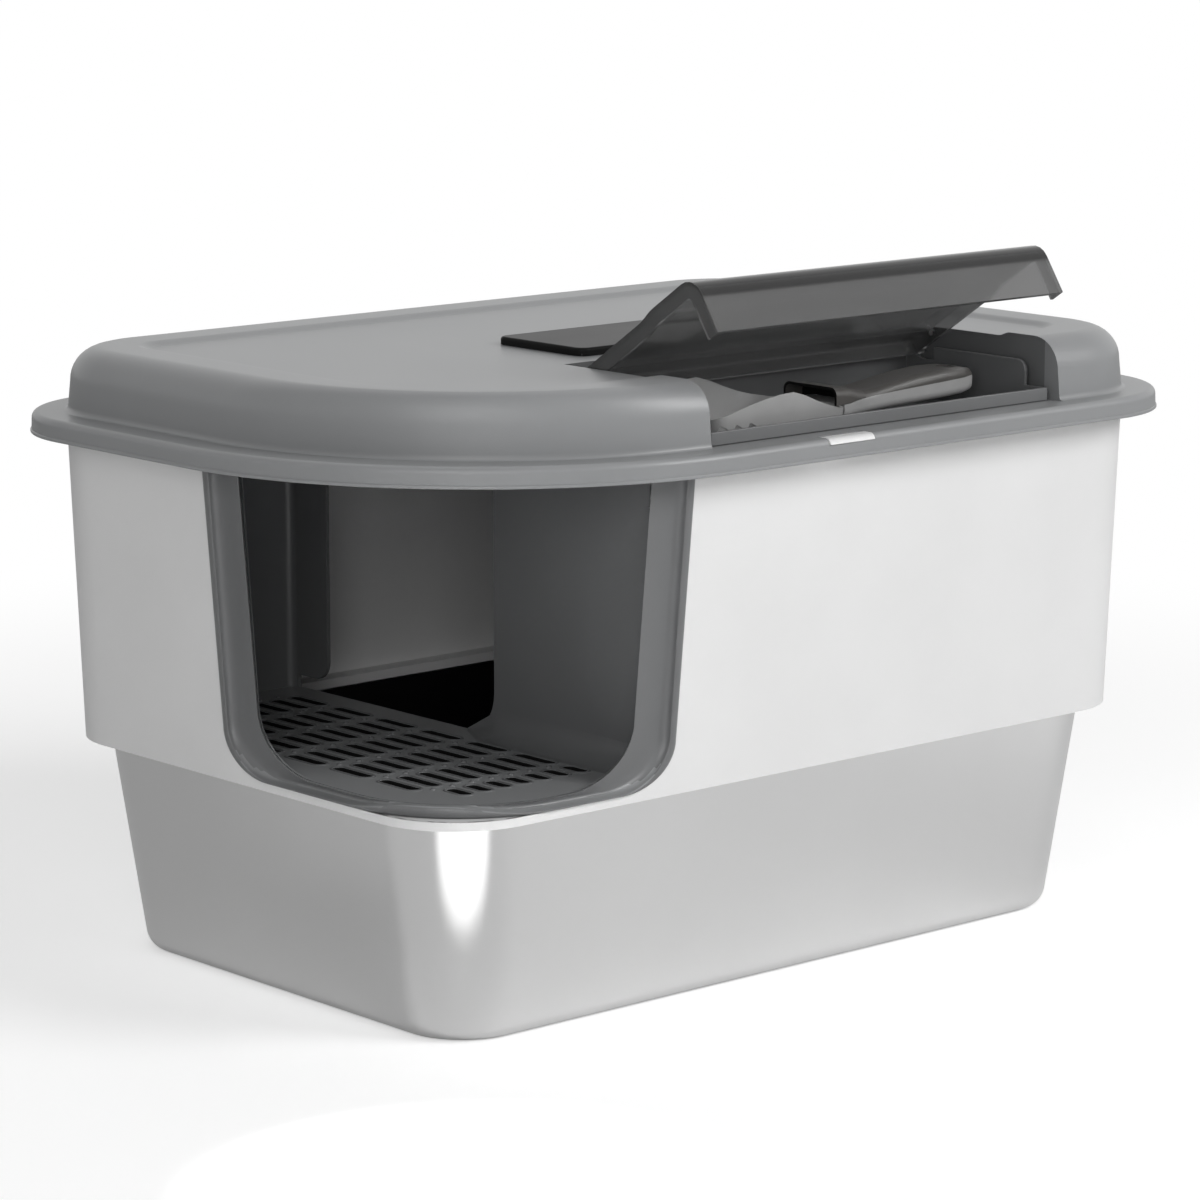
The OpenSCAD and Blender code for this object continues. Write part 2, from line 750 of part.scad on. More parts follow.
module entry_tunnel() {
    color(grey)
        difference() {
            union() {
                translate([0, 0, floor_z - tun_t])
                    linear_extrude(height = tun_t)
                        difference() {
                            tunnel_plan(0);
                            slots();
                        }
                difference() {
                    translate([0, 0, floor_z - tun_t])
                        linear_extrude(height = tun_top - floor_z + tun_t)
                            difference() {
                                tunnel_plan(0);
                                tunnel_plan(tun_t);
                            }
                    difference() {
                        mouth(band_w, floor_z, skirt_top + cut, mouth_in_r);
                        translate([tun_x1 - tun_t, tun_y0 - cut, 0])
                            cube([cut, tun_d, skirt_top + 2 * cut]);
                    }
                    exit_window();
                }
                screw_ear(screw_z0);
                screw_ear(screw_z1);
            }
            screw_bores(rest_gap);
        }
}
module exit_window() {
    w = (window_y1 - window_y0) / 2;
    top = window_top - floor_z - window_top_r;
    end = tun_y1 - tun_r - window_y0 - w;
    foot = arc(w + foot_r, foot_gap + foot_r, foot_r, 180, corner_steps);
    translate([tun_x1 - tun_t - cut / 2, window_y0 + w, floor_z])
        rotate([90, 0, 90])
            linear_extrude(height = cut)
                polygon(concat(
                    arc(w - window_top_r, top, window_top_r, 0, corner_steps),
                    arc(window_top_r - w, top, window_top_r, 90, corner_steps),
                    arc(window_r - w, window_r, window_r, 180, corner_steps),
                    [[end, 0], [end, foot_gap]],
                    [for (i = [1 : len(foot)]) foot[len(foot) - i]]));
}

// Lid
panel_z = dome_z - step_h;
side_top = dome_z - dome_round;
band_inset = dome_draft + dome_round + dome_band;
shelf_z = flange_z1 - lid_t;
function dome_ring(inset, z, t = 0) =
    ring(dome_x, dome_y, dome_r, dome_near_r - dome_near_share * (inset - t), -inset, z);
function flange_ring(inset, z) = ring(flange_x, flange_y, flange_r, flange_near_r, -inset, z);
function dome_edge(a, t) = [dome_draft + t + (dome_round - t) * (1 - sin(a)),
    side_top + (dome_round - t) * cos(a)];
function dome_step(share, t) = [band_inset + step_w * share,
    dome_z - t - step_h * (1 - cos(180 * share)) / 2];
dome_angles = [for (i = [0 : round_steps]) i * 90 / round_steps];
step_shares = [0, 0.25, 0.5, 0.75, 1];
outer_line = concat(
    [[0, flange_z1]],
    [for (i = [0 : round_steps]) dome_edge(90 - dome_angles[i], 0)],
    [for (s = step_shares) dome_step(s, 0)]);
inner_line = concat(
    [for (s = step_shares) dome_step(1 - s, lid_t)],
    [for (i = [0 : round_steps]) dome_edge(dome_angles[i], lid_t)],
    [[lid_t, flange_z1], [lid_t + rest_in, flange_z1], [lid_t + rest_in, shelf_z]]);
flange_line = concat(
    [[lid_t, shelf_z], [lid_t, flange_z0], [0, flange_z0]],
    [for (i = [0 : round_steps]) let (a = dome_angles[i])
        [flange_round * (1 - cos(a)), flange_z1 - flange_round * (1 - sin(a))]]);

module bay_box(grow, y0, y1, z0, z1) {
    translate([bay_x0 - grow, y0, z0])
        cube([bay_x1 - bay_x0 + 2 * grow, y1 - y0, z1 - z0]);
}
module along_x(x0, x1, y, z, r) {
    translate([x0, y, z])
        rotate([0, 90, 0])
            cylinder(h = x1 - x0, r = r, $fn = 48);
}
latch_y = latch_in - flange_y;
module latch_cut() {
    translate([-notch_half, -flange_y - cut, flange_z1 - notch_depth])
        cube([2 * notch_half, cut + notch_in, cut]);
    bore = notch_half + latch_boss - rest_gap;
    along_x(-bore, bore, latch_y, latch_z, latch_pin_r);
}
module latch_bosses() {
    for (s = [-1, 1])
        translate([s * (notch_half + latch_boss / 2), latch_y, (shelf_z + latch_z - latch_boss_w) / 2])
            cube([latch_boss, 2 * latch_boss_w, shelf_z - latch_z + latch_boss_w + 2 * eps],
                center = true);
}
pin_left = bay_x0 - lid_t - pin_boss;
pin_right = bay_x1 + lid_t + pin_boss;
module pin_block(x0, x1) {
    translate([x0, hinge_y - 2 * pin_r, hinge_z - 2 * pin_r])
        cube([x1 - x0, 4 * pin_r, panel_z - hinge_z + 2 * pin_r - eps]);
}

module lid() {
    color(grey)
        difference() {
            union() {
                stack(concat(
                    [for (p = inner_line) dome_ring(p[0], p[1], lid_t)],
                    [for (p = flange_line) flange_ring(p[0], p[1])],
                    [for (p = outer_line) dome_ring(p[0], p[1])]));
                intersection() {
                    stack(concat([dome_ring(0, shelf_z)], [for (p = outer_line) dome_ring(p[0], p[1])]));
                    bay_box(lid_t, -dome_y, bay_y1 + lid_t, shelf_z, dome_z + cut);
                }
                bay_box(lid_t, bay_y0 - lid_t, bay_y1 + lid_t, bay_z - lid_t, flange_z1);
                pin_block(pin_left, bay_x0 - eps);
                pin_block(bay_x1 + eps, pin_right);
                latch_bosses();
                mirror([0, 1, 0])
                    latch_bosses();
            }
            bay_box(0, bay_y0, bay_y1, bay_z, dome_z + cut);
            bay_box(0, -flange_y - cut, bay_y0 + eps, flange_z1, dome_z + cut);
            along_x(pin_left + pin_back, pin_right - pin_back, hinge_y, hinge_z, pin_r);
            latch_cut();
            mirror([0, 1, 0])
                latch_cut();
            translate([basket_x0 - basket_gap, basket_y0 - basket_gap, panel_z - cut / 2])
                cube([basket_x1 - basket_x0 + 2 * basket_gap,
                    basket_y1 - basket_y0 + 2 * basket_gap, cut]);
        }
}

// Compartment flap, drawn closed and turned to its rest angle
module at_rest() {
    translate([0, hinge_y, hinge_z])
        rotate([-flap_open, 0, 0])
            translate([0, -hinge_y, -hinge_z])
                children();
}
flap_top = flap_z1 + flap_step;
function flap_face(s, t) = [flap_y0 + flap_step_y + flap_step_w * (1 - s),
    flap_top - t - flap_step * (1 + cos(180 * s)) / 2];
function flap_edge(a, t) = [flap_y0 + flap_round - (flap_round - t) * sin(a),
    flap_top - flap_round + (flap_round - t) * cos(a)];
function flap_line(t) = concat(
    [[flap_y1, flap_z1 - t]],
    [for (s = step_shares) flap_face(s, t)],
    [for (a = dome_angles) flap_edge(a, t)],
    [[flap_y0 + t, flap_z0]]);
function flap_outline(t) = concat(flap_line(0), [for (i = [len(flap_line(t)) - 1 : -1 : 0])
    flap_line(t)[i]]);
flap_x0 = bay_x0 + flap_gap;
flap_x1 = bay_x1 - flap_gap;
module flap_slice(x0, x1, t) {
    translate([x0, 0, 0])
        rotate([90, 0, 90])
            linear_extrude(height = x1 - x0)
                polygon(flap_outline(t));
}

module flap() {
    color(smoke)
        at_rest()
            difference() {
                union() {
                    flap_slice(flap_x0, flap_x1, flap_t);
                    translate([flap_x0, flap_y1 - rim_t, flap_z1 - rear_depth])
                        cube([flap_x1 - flap_x0, rim_t, rear_depth - eps]);
                    flap_slice(flap_x0, flap_x0 + rim_t, rim_depth);
                    flap_slice(flap_x1 - rim_t, flap_x1, rim_depth);
                    along_x(flap_x0, flap_x0 + rim_t, hinge_y, hinge_z, ear_r);
                    along_x(flap_x1 - rim_t, flap_x1, hinge_y, hinge_z, ear_r);
                }
                along_x(flap_x0 - cut, flap_x1 + cut, hinge_y, hinge_z, pin_r + pin_play);
            }
}

module flap_pins() {
    color(steel) {
        along_x(pin_left + pin_back, flap_x0 + rim_t - rest_gap, hinge_y, hinge_z, pin_r);
        along_x(flap_x1 - rim_t + rest_gap, pin_right - pin_back, hinge_y, hinge_z, pin_r);
    }
}

// Latches: one in front and its mirror image behind
latch_half = notch_half - latch_gap;
leg_y = latch_y - leg_t + latch_gap;
tab_turn = 84;
hook_z = flange_z0 + rest_gap;
lug_y = skirt_y + skirt_grow(lug_z) + lug_depth;
tab_angles = [for (i = [0 : round_steps]) 90 - i * tab_turn / round_steps];
function tab_arc(r) = [for (a = tab_angles)
    [flange_round - flange_y - r * cos(a), flange_z1 - flange_round + r * sin(a)]];
module latch() {
    tab_in = tab_arc(flange_round - tab_t);
    difference() {
        union() {
            along_x(-latch_half, latch_half, latch_y, latch_z, barrel_r);
            translate([-latch_half, 0, 0])
                rotate([90, 0, 90])
                    linear_extrude(height = 2 * latch_half)
                        polygon(concat([[latch_y, flange_z1]], tab_arc(flange_round),
                            [for (i = [round_steps : -1 : 0]) tab_in[i]],
                            [[latch_y, flange_z1 - tab_t]]));
            translate([-leg_half, leg_y, hook_z])
                cube([2 * leg_half, leg_t, latch_z - hook_z]);
            translate([-leg_half, leg_y, hook_z])
                cube([2 * leg_half, hook_under - lug_y - leg_y, hook_t]);
        }
        along_x(-cut, cut, latch_y, latch_z, latch_pin_r + pin_play);
    }
}
module front_latch() {
    color(white)
        latch();
}
module rear_latch() {
    color(white)
        mirror([0, 1, 0])
            latch();
}

module latch_pins() {
    reach = notch_half + latch_boss - 2 * rest_gap;
    color(steel)
        for (s = [-1, 1])
            along_x(-reach, reach, s * latch_y, latch_z, latch_pin_r);
}

// Filter: cover, tray and carbon pad
cover_z = panel_z + rest_gap;
cover_cx = (cover_x0 + cover_x1) / 2;
cover_cy = (cover_y0 + cover_y1) / 2;
cover_hx = (cover_x1 - cover_x0) / 2;
cover_hy = (cover_y1 - cover_y0) / 2;
basket_in = cover_rim + rest_gap + basket_flange;
basket_x0 = cover_x0 + basket_in;
basket_x1 = cover_x1 - basket_in;
basket_y0 = cover_y0 + basket_in;
basket_y1 = cover_y1 - basket_in;
basket_z = cover_z + basket_t - basket_depth;
function cover_ring(inset, z) = [cover_hx - inset, cover_hy - inset, z, cover_r - inset,
    cover_r - inset];

module filter_cover() {
    color(black)
        difference() {
            translate([cover_cx, cover_cy, 0])
                stack(concat([cover_ring(0, cover_z)],
                    [for (a = dome_angles) cover_ring(cover_round * (1 - cos(a)),
                        cover_z + cover_h - cover_round * (1 - sin(a)))]));
            translate([cover_x0 + cover_rim, cover_y0 + cover_rim, cover_z - eps])
                cube([2 * (cover_hx - cover_rim), 2 * (cover_hy - cover_rim), basket_t + eps]);
        }
}

module basket_box(inset, z0, z1) {
    translate([basket_x0 + inset, basket_y0 + inset, z0])
        cube([basket_x1 - basket_x0 - 2 * inset, basket_y1 - basket_y0 - 2 * inset, z1 - z0]);
}
module filter_tray() {
    count = floor((basket_x1 - basket_x0 - 4 * basket_t) / grille_dx);
    color(grey)
        difference() {
            union() {
                basket_box(-basket_flange, cover_z, cover_z + basket_t);
                basket_box(0, basket_z, cover_z + eps);
            }
            basket_box(basket_t, basket_z + basket_t, cover_z + cut);
            for (i = [0 : count - 1])
                translate([(basket_x0 + basket_x1) / 2 + (i - (count - 1) / 2) * grille_dx,
                        (basket_y0 + basket_y1) / 2, basket_z])
                    cube([grille_w, basket_y1 - basket_y0 - 6 * basket_t, 4 * basket_t],
                        center = true);
        }
}

module carbon_filter() {
    color(black)
        basket_box(basket_t + basket_gap, basket_z + basket_t, basket_z + basket_t + pad_h);
}

// Drop-in tray for the scoop
tray_x0 = bay_x0 + tray_side;
tray_x1 = bay_x1 - tray_side;
tray_y0 = bay_y0 + tray_gap;
tray_y1 = bay_y1 - tray_back;
tray_z = bay_z + rest_gap;
tray_floor = tray_z + tray_t;
tray_lip_z = flange_z1 + rest_gap;
swing_r = norm([flap_y1 - hinge_y, flap_z1 - rear_depth - hinge_z]) + swing_gap;
swing_share = 0.33;
swing_y = hinge_y - swing_r * swing_share;
module tray_box(x0, x1, y0, y1, z0, z1) {
    translate([x0, y0, z0])
        cube([x1 - x0, y1 - y0, z1 - z0]);
}
module tray_end(x) {
    translate([x, 0, 0])
        rotate([90, 0, 90])
            linear_extrude(height = tray_t)
                polygon(concat(
                    [[tray_y1, tray_z], [tray_y1, tray_end_z]],
                    arc(tray_end_y + tray_end_r, tray_end_z - tray_end_r, tray_end_r, 90,
                        corner_steps),
                    [[tray_end_y, tray_front_z], [tray_front_y, tray_front_z],
                        [tray_front_y, tray_lip_z], [tray_y0, tray_lip_z], [tray_y0, tray_z]]));
}

module scoop_tray() {
    color(grey)
        difference() {
            union() {
                tray_box(tray_x0, tray_x1, tray_y0, tray_y1, tray_z, tray_floor);
                tray_box(tray_x0, tray_x1, tray_y1 - tray_t, tray_y1, tray_z, tray_end_z);
                tray_box(tray_x0, tray_x1, tray_y0, tray_y0 + tray_t, tray_z, tray_lip_z + tray_t);
                tray_box(tray_x0, tray_x1, tray_front_y, tray_y0 + tray_t, tray_lip_z,
                    tray_lip_z + tray_t);
                tray_box(tray_x0, tray_x1, tray_front_y, tray_front_y + tray_t, tray_lip_z,
                    tray_front_z);
                tray_end(tray_x0);
                tray_end(tray_x1 - tray_t);
            }
            intersection() {
                along_x(tray_x0 - cut, tray_x1 + cut, hinge_y, hinge_z, swing_r);
                tray_box(tray_x0 - cut, tray_x1 + cut, swing_y, tray_y1 + cut, bay_z, dome_z);
            }
        }
}

// Scoop
blade_z = tray_floor + rest_gap;
blade_foot_y0 = blade_y0 + blade_lean;
blade_foot_y1 = blade_y1 - blade_lean;
blade_cy = (blade_y0 + blade_y1) / 2;
blade_cx = (blade_x0 + blade_x1) / 2;
function blade_side(x) = x < blade_peak_x
    ? blade_low + (blade_peak - blade_low) * sin(90 * (x - blade_x0) / (blade_peak_x - blade_x0))
    : blade_peak - (blade_peak - blade_back) * sin(90 * (x - blade_peak_x) / (blade_x1 - blade_peak_x));
side_steps = 12;
blade_xs = [for (i = [0 : side_steps]) blade_x0 + (blade_x1 - blade_x0) * i / side_steps];
// Ring of the blade: rear corners wide, front corners narrow, walls leaning out with height
function blade_ring(inset, h) = let (
        hy = (blade_foot_y1 - blade_foot_y0) / 2 + blade_lean * h / blade_peak - inset,
        hx = (blade_x1 - blade_x0) / 2 - inset)
    concat(
        arc(hx - blade_rear_r, hy - blade_rear_r, blade_rear_r, 0, corner_steps),
        arc(blade_r - hx, hy - blade_r, blade_r, 90, corner_steps),
        arc(blade_r - hx, blade_r - hy, blade_r, 180, corner_steps),
        arc(hx - blade_rear_r, blade_rear_r - hy, blade_rear_r, 270, corner_steps));
module blade_solid(inset, h0, h1) {
    m = 4 * (corner_steps + 1);
    points = [for (h = [h0, h1]) for (p = blade_ring(inset, h)) [p[0], p[1], h]];
    polyhedron(points, concat(
        [for (j = [0 : m - 1]) [j, m + j, m + (j + 1) % m, (j + 1) % m]],
        [[for (j = [0 : m - 1]) j], [for (j = [m - 1 : -1 : 0]) m + j]]));
}

module scoop_blade() {
    slot_step = (blade_foot_y1 - blade_foot_y0 - 2 * blade_r) / blade_slots;
    color(pale)
        difference() {
            intersection() {
                translate([blade_cx, blade_cy, blade_z])
                    difference() {
                        blade_solid(0, 0, blade_peak + cut);
                        blade_solid(blade_t, blade_t, blade_peak + 2 * cut);
                    }
                translate([0, blade_y1 + cut, blade_z])
                    rotate([90, 0, 0])
                        linear_extrude(height = blade_y1 - blade_y0 + 2 * cut)
                            polygon(concat([[blade_x1 + cut, -cut], [blade_x0 - cut, -cut],
                                [blade_x0 - cut, blade_low]],
                                [for (x = blade_xs) [x, blade_side(x)]],
                                [[blade_x1 + cut, blade_back]]));
            }
            for (i = [0 : blade_slots - 1])
                translate([blade_x0 + blade_r + blade_slot_len / 2,
                        blade_foot_y0 + blade_r + (i + 0.5) * slot_step, blade_z])
                    cube([blade_slot_len, blade_slot_w, 4 * blade_t], center = true);
            for (i = [0 : side_slots - 1])
                translate([blade_x0 + side_slot_in + i * side_slot_dx, blade_y0 - cut / 2,
                        blade_z + side_slot_z])
                    rotate([0, side_slot_turn, 0])
                        cube([side_slot_len, cut, side_slot_w]);
            rivet_bores();
        }
}

// Rivets hold the handle to the rear wall of the blade.
grip_x0 = blade_x1 + grip_gap;
module on_rivets() {
    for (s = [-1, 1])
        translate([blade_x1 - blade_t, blade_cy + s * rivet_pitch / 2, blade_z + rivet_z])
            rotate([0, 90, 0])
                children();
}
module rivet_bores() {
    on_rivets()
        cylinder(h = rivet_len, r = rivet_r, $fn = 32);
}
module scoop_rivets() {
    color(steel)
        on_rivets() {
            cylinder(h = rivet_len, r = rivet_r, $fn = 32);
            translate([0, 0, -rivet_head_h])
                cylinder(h = rivet_head_h, r = rivet_head_r, $fn = 40);
        }
}

// Stations along the handle: share of its length, half width, underside and top above the blade
grip_stations = [
    [0, 22.5, 8, 27.2], [0.1, 21.5, 8, 26], [0.17, 18, 8.2, 23.4], [0.24, 15.8, 8.4, 21.8],
    [0.31, 14.8, 8.8, 21.9], [0.45, 14.4, 9.6, 24.4], [0.6, 14.8, 10.4, 27], [0.78, 15.5, 11.2, 28.4],
    [0.9, 15.2, 12, 28], [0.97, 12.5, 13, 26.8], [1, 8.5, 14.5, 25]];
module grip_form(inset) {
    translate([0, blade_cy, blade_z])
        rotate([0, 90, 0])
            stack([for (q = grip_stations)
                [(q[3] - q[2]) / 2 - inset, q[1] - inset, collar_x0 + (grip_x1 - collar_x0) * q[0],
                    grip_r - inset, grip_r - inset, -(q[2] + q[3]) / 2]]);
}
// Part of the handle above or below the seam, between two places along it
seam_slope = (seam_z1 - seam_z0) / (grip_x1 - blade_x1);
function seam(x) = seam_z0 + seam_slope * (x - blade_x1);
module seam_part(x0, x1, z0, z1) {
    translate([0, blade_cy + cut, blade_z])
        rotate([90, 0, 0])
            linear_extrude(height = 2 * cut)
                polygon([[x0, seam(x0) + z0], [x1, seam(x1) + z0], [x1, seam(x1) + z1],
                    [x0, seam(x0) + z1]]);
}
module hanging_hole() {
    translate([hole_x, blade_cy, blade_z - cut])
        cylinder(h = 3 * cut, r = hole_r, $fn = 48);
}

module scoop_collar() {
    color(taupe)
        difference() {
            intersection() {
                grip_form(0);
                seam_part(collar_x0, collar_x1, rest_gap, cut);
            }
            intersection() {
                grip_form(collar_t);
                seam_part(collar_x0 - cut, collar_x1 - collar_end, -cut, cut);
            }
        }
}

module scoop_handle_upper() {
    color(taupe)
        difference() {
            intersection() {
                grip_form(0);
                seam_part(collar_x1, grip_x1 + cut, 0, cut);
            }
            hanging_hole();
        }
}

module scoop_handle_lower() {
    color(pale)
        difference() {
            intersection() {
                grip_form(0);
                seam_part(grip_x0, grip_x1 + cut, -cut, 0);
            }
            hanging_hole();
            rivet_bores();
        }
}

steel_pan();
rim_seal();
enclosure();
entry_frame();
entry_tunnel();
frame_screws();
lid();
flap();
flap_pins();
front_latch();
rear_latch();
latch_pins();
filter_cover();
filter_tray();
carbon_filter();
scoop_tray();
scoop_blade();
scoop_collar();
scoop_handle_upper();
scoop_handle_lower();
scoop_rivets();
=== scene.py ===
import math

import bmesh
import bpy
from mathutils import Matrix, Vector


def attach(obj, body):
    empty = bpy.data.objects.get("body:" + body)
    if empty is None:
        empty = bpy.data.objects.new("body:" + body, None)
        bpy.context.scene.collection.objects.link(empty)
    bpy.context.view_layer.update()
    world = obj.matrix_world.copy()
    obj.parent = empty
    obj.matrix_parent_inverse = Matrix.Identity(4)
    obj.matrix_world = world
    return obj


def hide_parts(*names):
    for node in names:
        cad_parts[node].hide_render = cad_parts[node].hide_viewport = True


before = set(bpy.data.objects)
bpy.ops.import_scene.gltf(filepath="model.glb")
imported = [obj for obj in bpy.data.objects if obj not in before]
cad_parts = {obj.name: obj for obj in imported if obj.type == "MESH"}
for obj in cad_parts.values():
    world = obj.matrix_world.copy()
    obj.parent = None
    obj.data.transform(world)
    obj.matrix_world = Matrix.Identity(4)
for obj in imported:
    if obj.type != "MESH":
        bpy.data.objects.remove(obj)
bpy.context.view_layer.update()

MM = 0.001
WHITE = (1, 1, 1, 1)

# Camera: place in metres, turn and tilt in degrees, lens and sensor in millimetres
CAM_PLACE = (-1.7873, -2.0237, 0.7165)
CAM_TURN, CAM_TILT = -41.402, 10.773
CAM_LENS, CAM_SENSOR, CAM_FAR = 134.7, 36, 20

# Lamps: place, target and size in metres, power in watts
LAMPS = {
    "key": ((1.5, -2.6, 2.0), (0, 0, 0.2), 1.5, 63),
    "fill": ((-2.2, -2.0, 1.1), (-0.1, -0.1, 0.2), 1.6, 23),
    "top": ((0.2, 0.6, 2.8), (0, 0, 0.3), 2.0, 10),
}

# Patches of light on the floor: place, height and radius in metres, power in watts, soft share of the edge
POOLS = (
    ((-0.58, -0.6), 0.6, 0.33, 22, 0.3),
    ((-0.40, -0.36), 0.3, 0.16, 5, 0.3),
    ((0.62, -0.6), 0.8, 0.5, 5, 1),
)
POOL_BULB = 0.01

# Surroundings: the floor fades out to white between the two distances, in metres
WORLD_LIGHT = 0.23
FLOOR_HALF = 60
FLOOR_TONE, FLOOR_ROUGH, FLOOR_GLOSS = 0.8, 0.7, 0.23
FLOOR_LIFT = 0.40
FADE_FROM, FADE_TO = 0.55, 1.3


# Shader nodes

def add_node(nt, kind, operation=None, **values):
    """A new shader node with its operation and the values of its named inputs."""
    node = nt.nodes.new("ShaderNode" + kind)
    if operation:
        node.operation = operation
    for key, value in values.items():
        node.inputs[key.replace("_", " ")].default_value = value
    return node


def join(nt, *pairs):
    for start, end in pairs:
        nt.links.new(start, end)


def object_place(nt):
    return add_node(nt, "TexCoord").outputs["Object"]


def seen_directly(nt):
    """1 for camera, glossy and transmission rays, 0 for the light that falls on the object."""
    path = add_node(nt, "LightPath")
    total = path.outputs["Is Camera Ray"]
    for name in ("Is Glossy Ray", "Is Transmission Ray"):
        most = add_node(nt, "Math", "MAXIMUM")
        join(nt, (total, most.inputs[0]), (path.outputs[name], most.inputs[1]))
        total = most.outputs[0]
    return total


# Camera, lights and floor

def aim(obj, target):
    obj.rotation_euler = (Vector(target) - obj.location).to_track_quat("-Z", "Y").to_euler()


def hang(name, data, place, target):
    obj = bpy.data.objects.new(name, data)
    obj.location = place
    bpy.context.scene.collection.objects.link(obj)
    aim(obj, target)
    return obj


def lamp(name, place, target, size, power):
    data = bpy.data.lights.new(name, "AREA")
    data.shape = "RECTANGLE"
    data.size = size
    data.size_y = size
    data.energy = power
    hang(name, data, place, target)


def pool(place, height, radius, power, blend):
    """A round patch of light on the floor, which the steel corner reflects."""
    data = bpy.data.lights.new("pool", "SPOT")
    data.energy = power
    data.spot_size = 2 * math.atan(radius / height)
    data.spot_blend = blend
    data.shadow_soft_size = POOL_BULB
    hang("pool", data, (*place, height), (*place, 0))


def make_camera():
    data = bpy.data.cameras.new("camera")
    data.lens = CAM_LENS
    data.sensor_width = CAM_SENSOR
    data.clip_end = CAM_FAR
    turn, tilt = math.radians(CAM_TURN), math.radians(CAM_TILT)
    look = Vector((-math.sin(turn) * math.cos(tilt), math.cos(turn) * math.cos(tilt), -math.sin(tilt)))
    bpy.context.scene.camera = hang("camera", data, CAM_PLACE, Vector(CAM_PLACE) + look)


def make_world():
    """Even light all round, which looks plain white wherever it is seen or mirrored."""
    world = bpy.data.worlds.new("studio")
    bpy.context.scene.world = world
    world.use_nodes = True
    nt = world.node_tree
    nt.nodes.clear()
    out = add_node(nt, "OutputWorld")
    mix = add_node(nt, "MixShader")
    plain = add_node(nt, "Background", Color=WHITE, Strength=WORLD_LIGHT)
    white = add_node(nt, "Background", Color=WHITE, Strength=1)
    join(nt, (seen_directly(nt), mix.inputs[0]), (plain.outputs[0], mix.inputs[1]),
         (white.outputs[0], mix.inputs[2]), (mix.outputs[0], out.inputs["Surface"]))


def make_floor():
    """A floor that is lifted to white for the camera, keeps its shadow and fades out to white."""
    mesh = bpy.data.meshes.new("floor")
    s = FLOOR_HALF
    mesh.from_pydata([(-s, -s, 0), (s, -s, 0), (s, s, 0), (-s, s, 0)], [], [(0, 1, 2, 3)])
    floor = bpy.data.objects.new("floor", mesh)
    bpy.context.scene.collection.objects.link(floor)
    mat = bpy.data.materials.new("floor")
    mat.use_nodes = True
    nt = mat.node_tree
    shader = nt.nodes["Principled BSDF"]
    shader.inputs["Base Color"].default_value = (FLOOR_TONE, FLOOR_TONE, FLOOR_TONE, 1)
    shader.inputs["Roughness"].default_value = FLOOR_ROUGH
    shader.inputs["Specular IOR Level"].default_value = FLOOR_GLOSS
    to_camera = add_node(nt, "LightPath").outputs["Is Camera Ray"]
    lift = add_node(nt, "Math", "MULTIPLY")
    lift.inputs[1].default_value = FLOOR_LIFT
    glow = add_node(nt, "Emission")
    lit = add_node(nt, "AddShader")
    away = add_node(nt, "VectorMath", "LENGTH")
    fade = add_node(nt, "MapRange", From_Min=FADE_FROM, From_Max=FADE_TO)
    fade.interpolation_type = "SMOOTHSTEP"
    both = add_node(nt, "Math", "MULTIPLY")
    far = add_node(nt, "Emission", Strength=1)
    mix = add_node(nt, "MixShader")
    join(nt, (to_camera, lift.inputs[0]), (lift.outputs[0], glow.inputs["Strength"]),
         (shader.outputs[0], lit.inputs[0]), (glow.outputs[0], lit.inputs[1]),
         (object_place(nt), away.inputs[0]), (away.outputs["Value"], fade.inputs["Value"]),
         (fade.outputs["Result"], both.inputs[0]), (to_camera, both.inputs[1]),
         (both.outputs[0], mix.inputs[0]), (lit.outputs[0], mix.inputs[1]),
         (far.outputs[0], mix.inputs[2]), (mix.outputs[0], nt.nodes["Material Output"].inputs["Surface"]))
    mesh.materials.append(mat)


def studio():
    bpy.context.scene.view_settings.view_transform = "Standard"
    make_camera()
    for name, values in LAMPS.items():
        lamp(name, *values)
    for values in POOLS:
        pool(*values)
    make_world()
    make_floor()


# Materials

GRAIN_DEPTH = 0.0004
PATCH_FROM, PATCH_TO = 0.35, 0.65
COOL = 0.02


def grey_of(v, tint=0.0):
    return (v * (1 - tint), v, v * (1 + tint), 1)


def shade(name, dark, light, rough, spread=0.05, grain=900, bump=0.04, patch=14, **more):
    """A moulded or rolled surface: slow tone drift, fine grain, uneven gloss."""
    mat = bpy.data.materials.new(name)
    mat.use_nodes = True
    nt = mat.node_tree
    shader = nt.nodes["Principled BSDF"]
    place = object_place(nt)
    slow = add_node(nt, "TexNoise", Scale=patch, Detail=3)
    fine = add_node(nt, "TexNoise", Scale=grain, Detail=2)
    tone = add_node(nt, "ValToRGB")
    gloss = add_node(nt, "MapRange", To_Min=rough - spread, To_Max=rough + spread)
    relief = add_node(nt, "Bump", Strength=bump, Distance=GRAIN_DEPTH)
    ends = tone.color_ramp.elements
    ends[0].position = PATCH_FROM
    ends[1].position = PATCH_TO
    ends[0].color = dark
    ends[1].color = light
    join(nt, (place, slow.inputs["Vector"]), (place, fine.inputs["Vector"]),
         (slow.outputs["Fac"], tone.inputs["Fac"]), (tone.outputs["Color"], shader.inputs["Base Color"]),
         (slow.outputs["Fac"], gloss.inputs["Value"]), (gloss.outputs["Result"], shader.inputs["Roughness"]),
         (fine.outputs["Fac"], relief.inputs["Height"]), (relief.outputs["Normal"], shader.inputs["Normal"]))
    for key, value in more.items():
        shader.inputs[key.replace("_", " ")].default_value = value
    return mat


def smoked(name, dark, light, clear, **more):
    """Smoked plastic that lets through the share clear of the light."""
    return shade(name, grey_of(dark), grey_of(light), rough=0.12, spread=0.02, bump=0.003, patch=12,
                 Transmission_Weight=clear, IOR=1.49, **more)


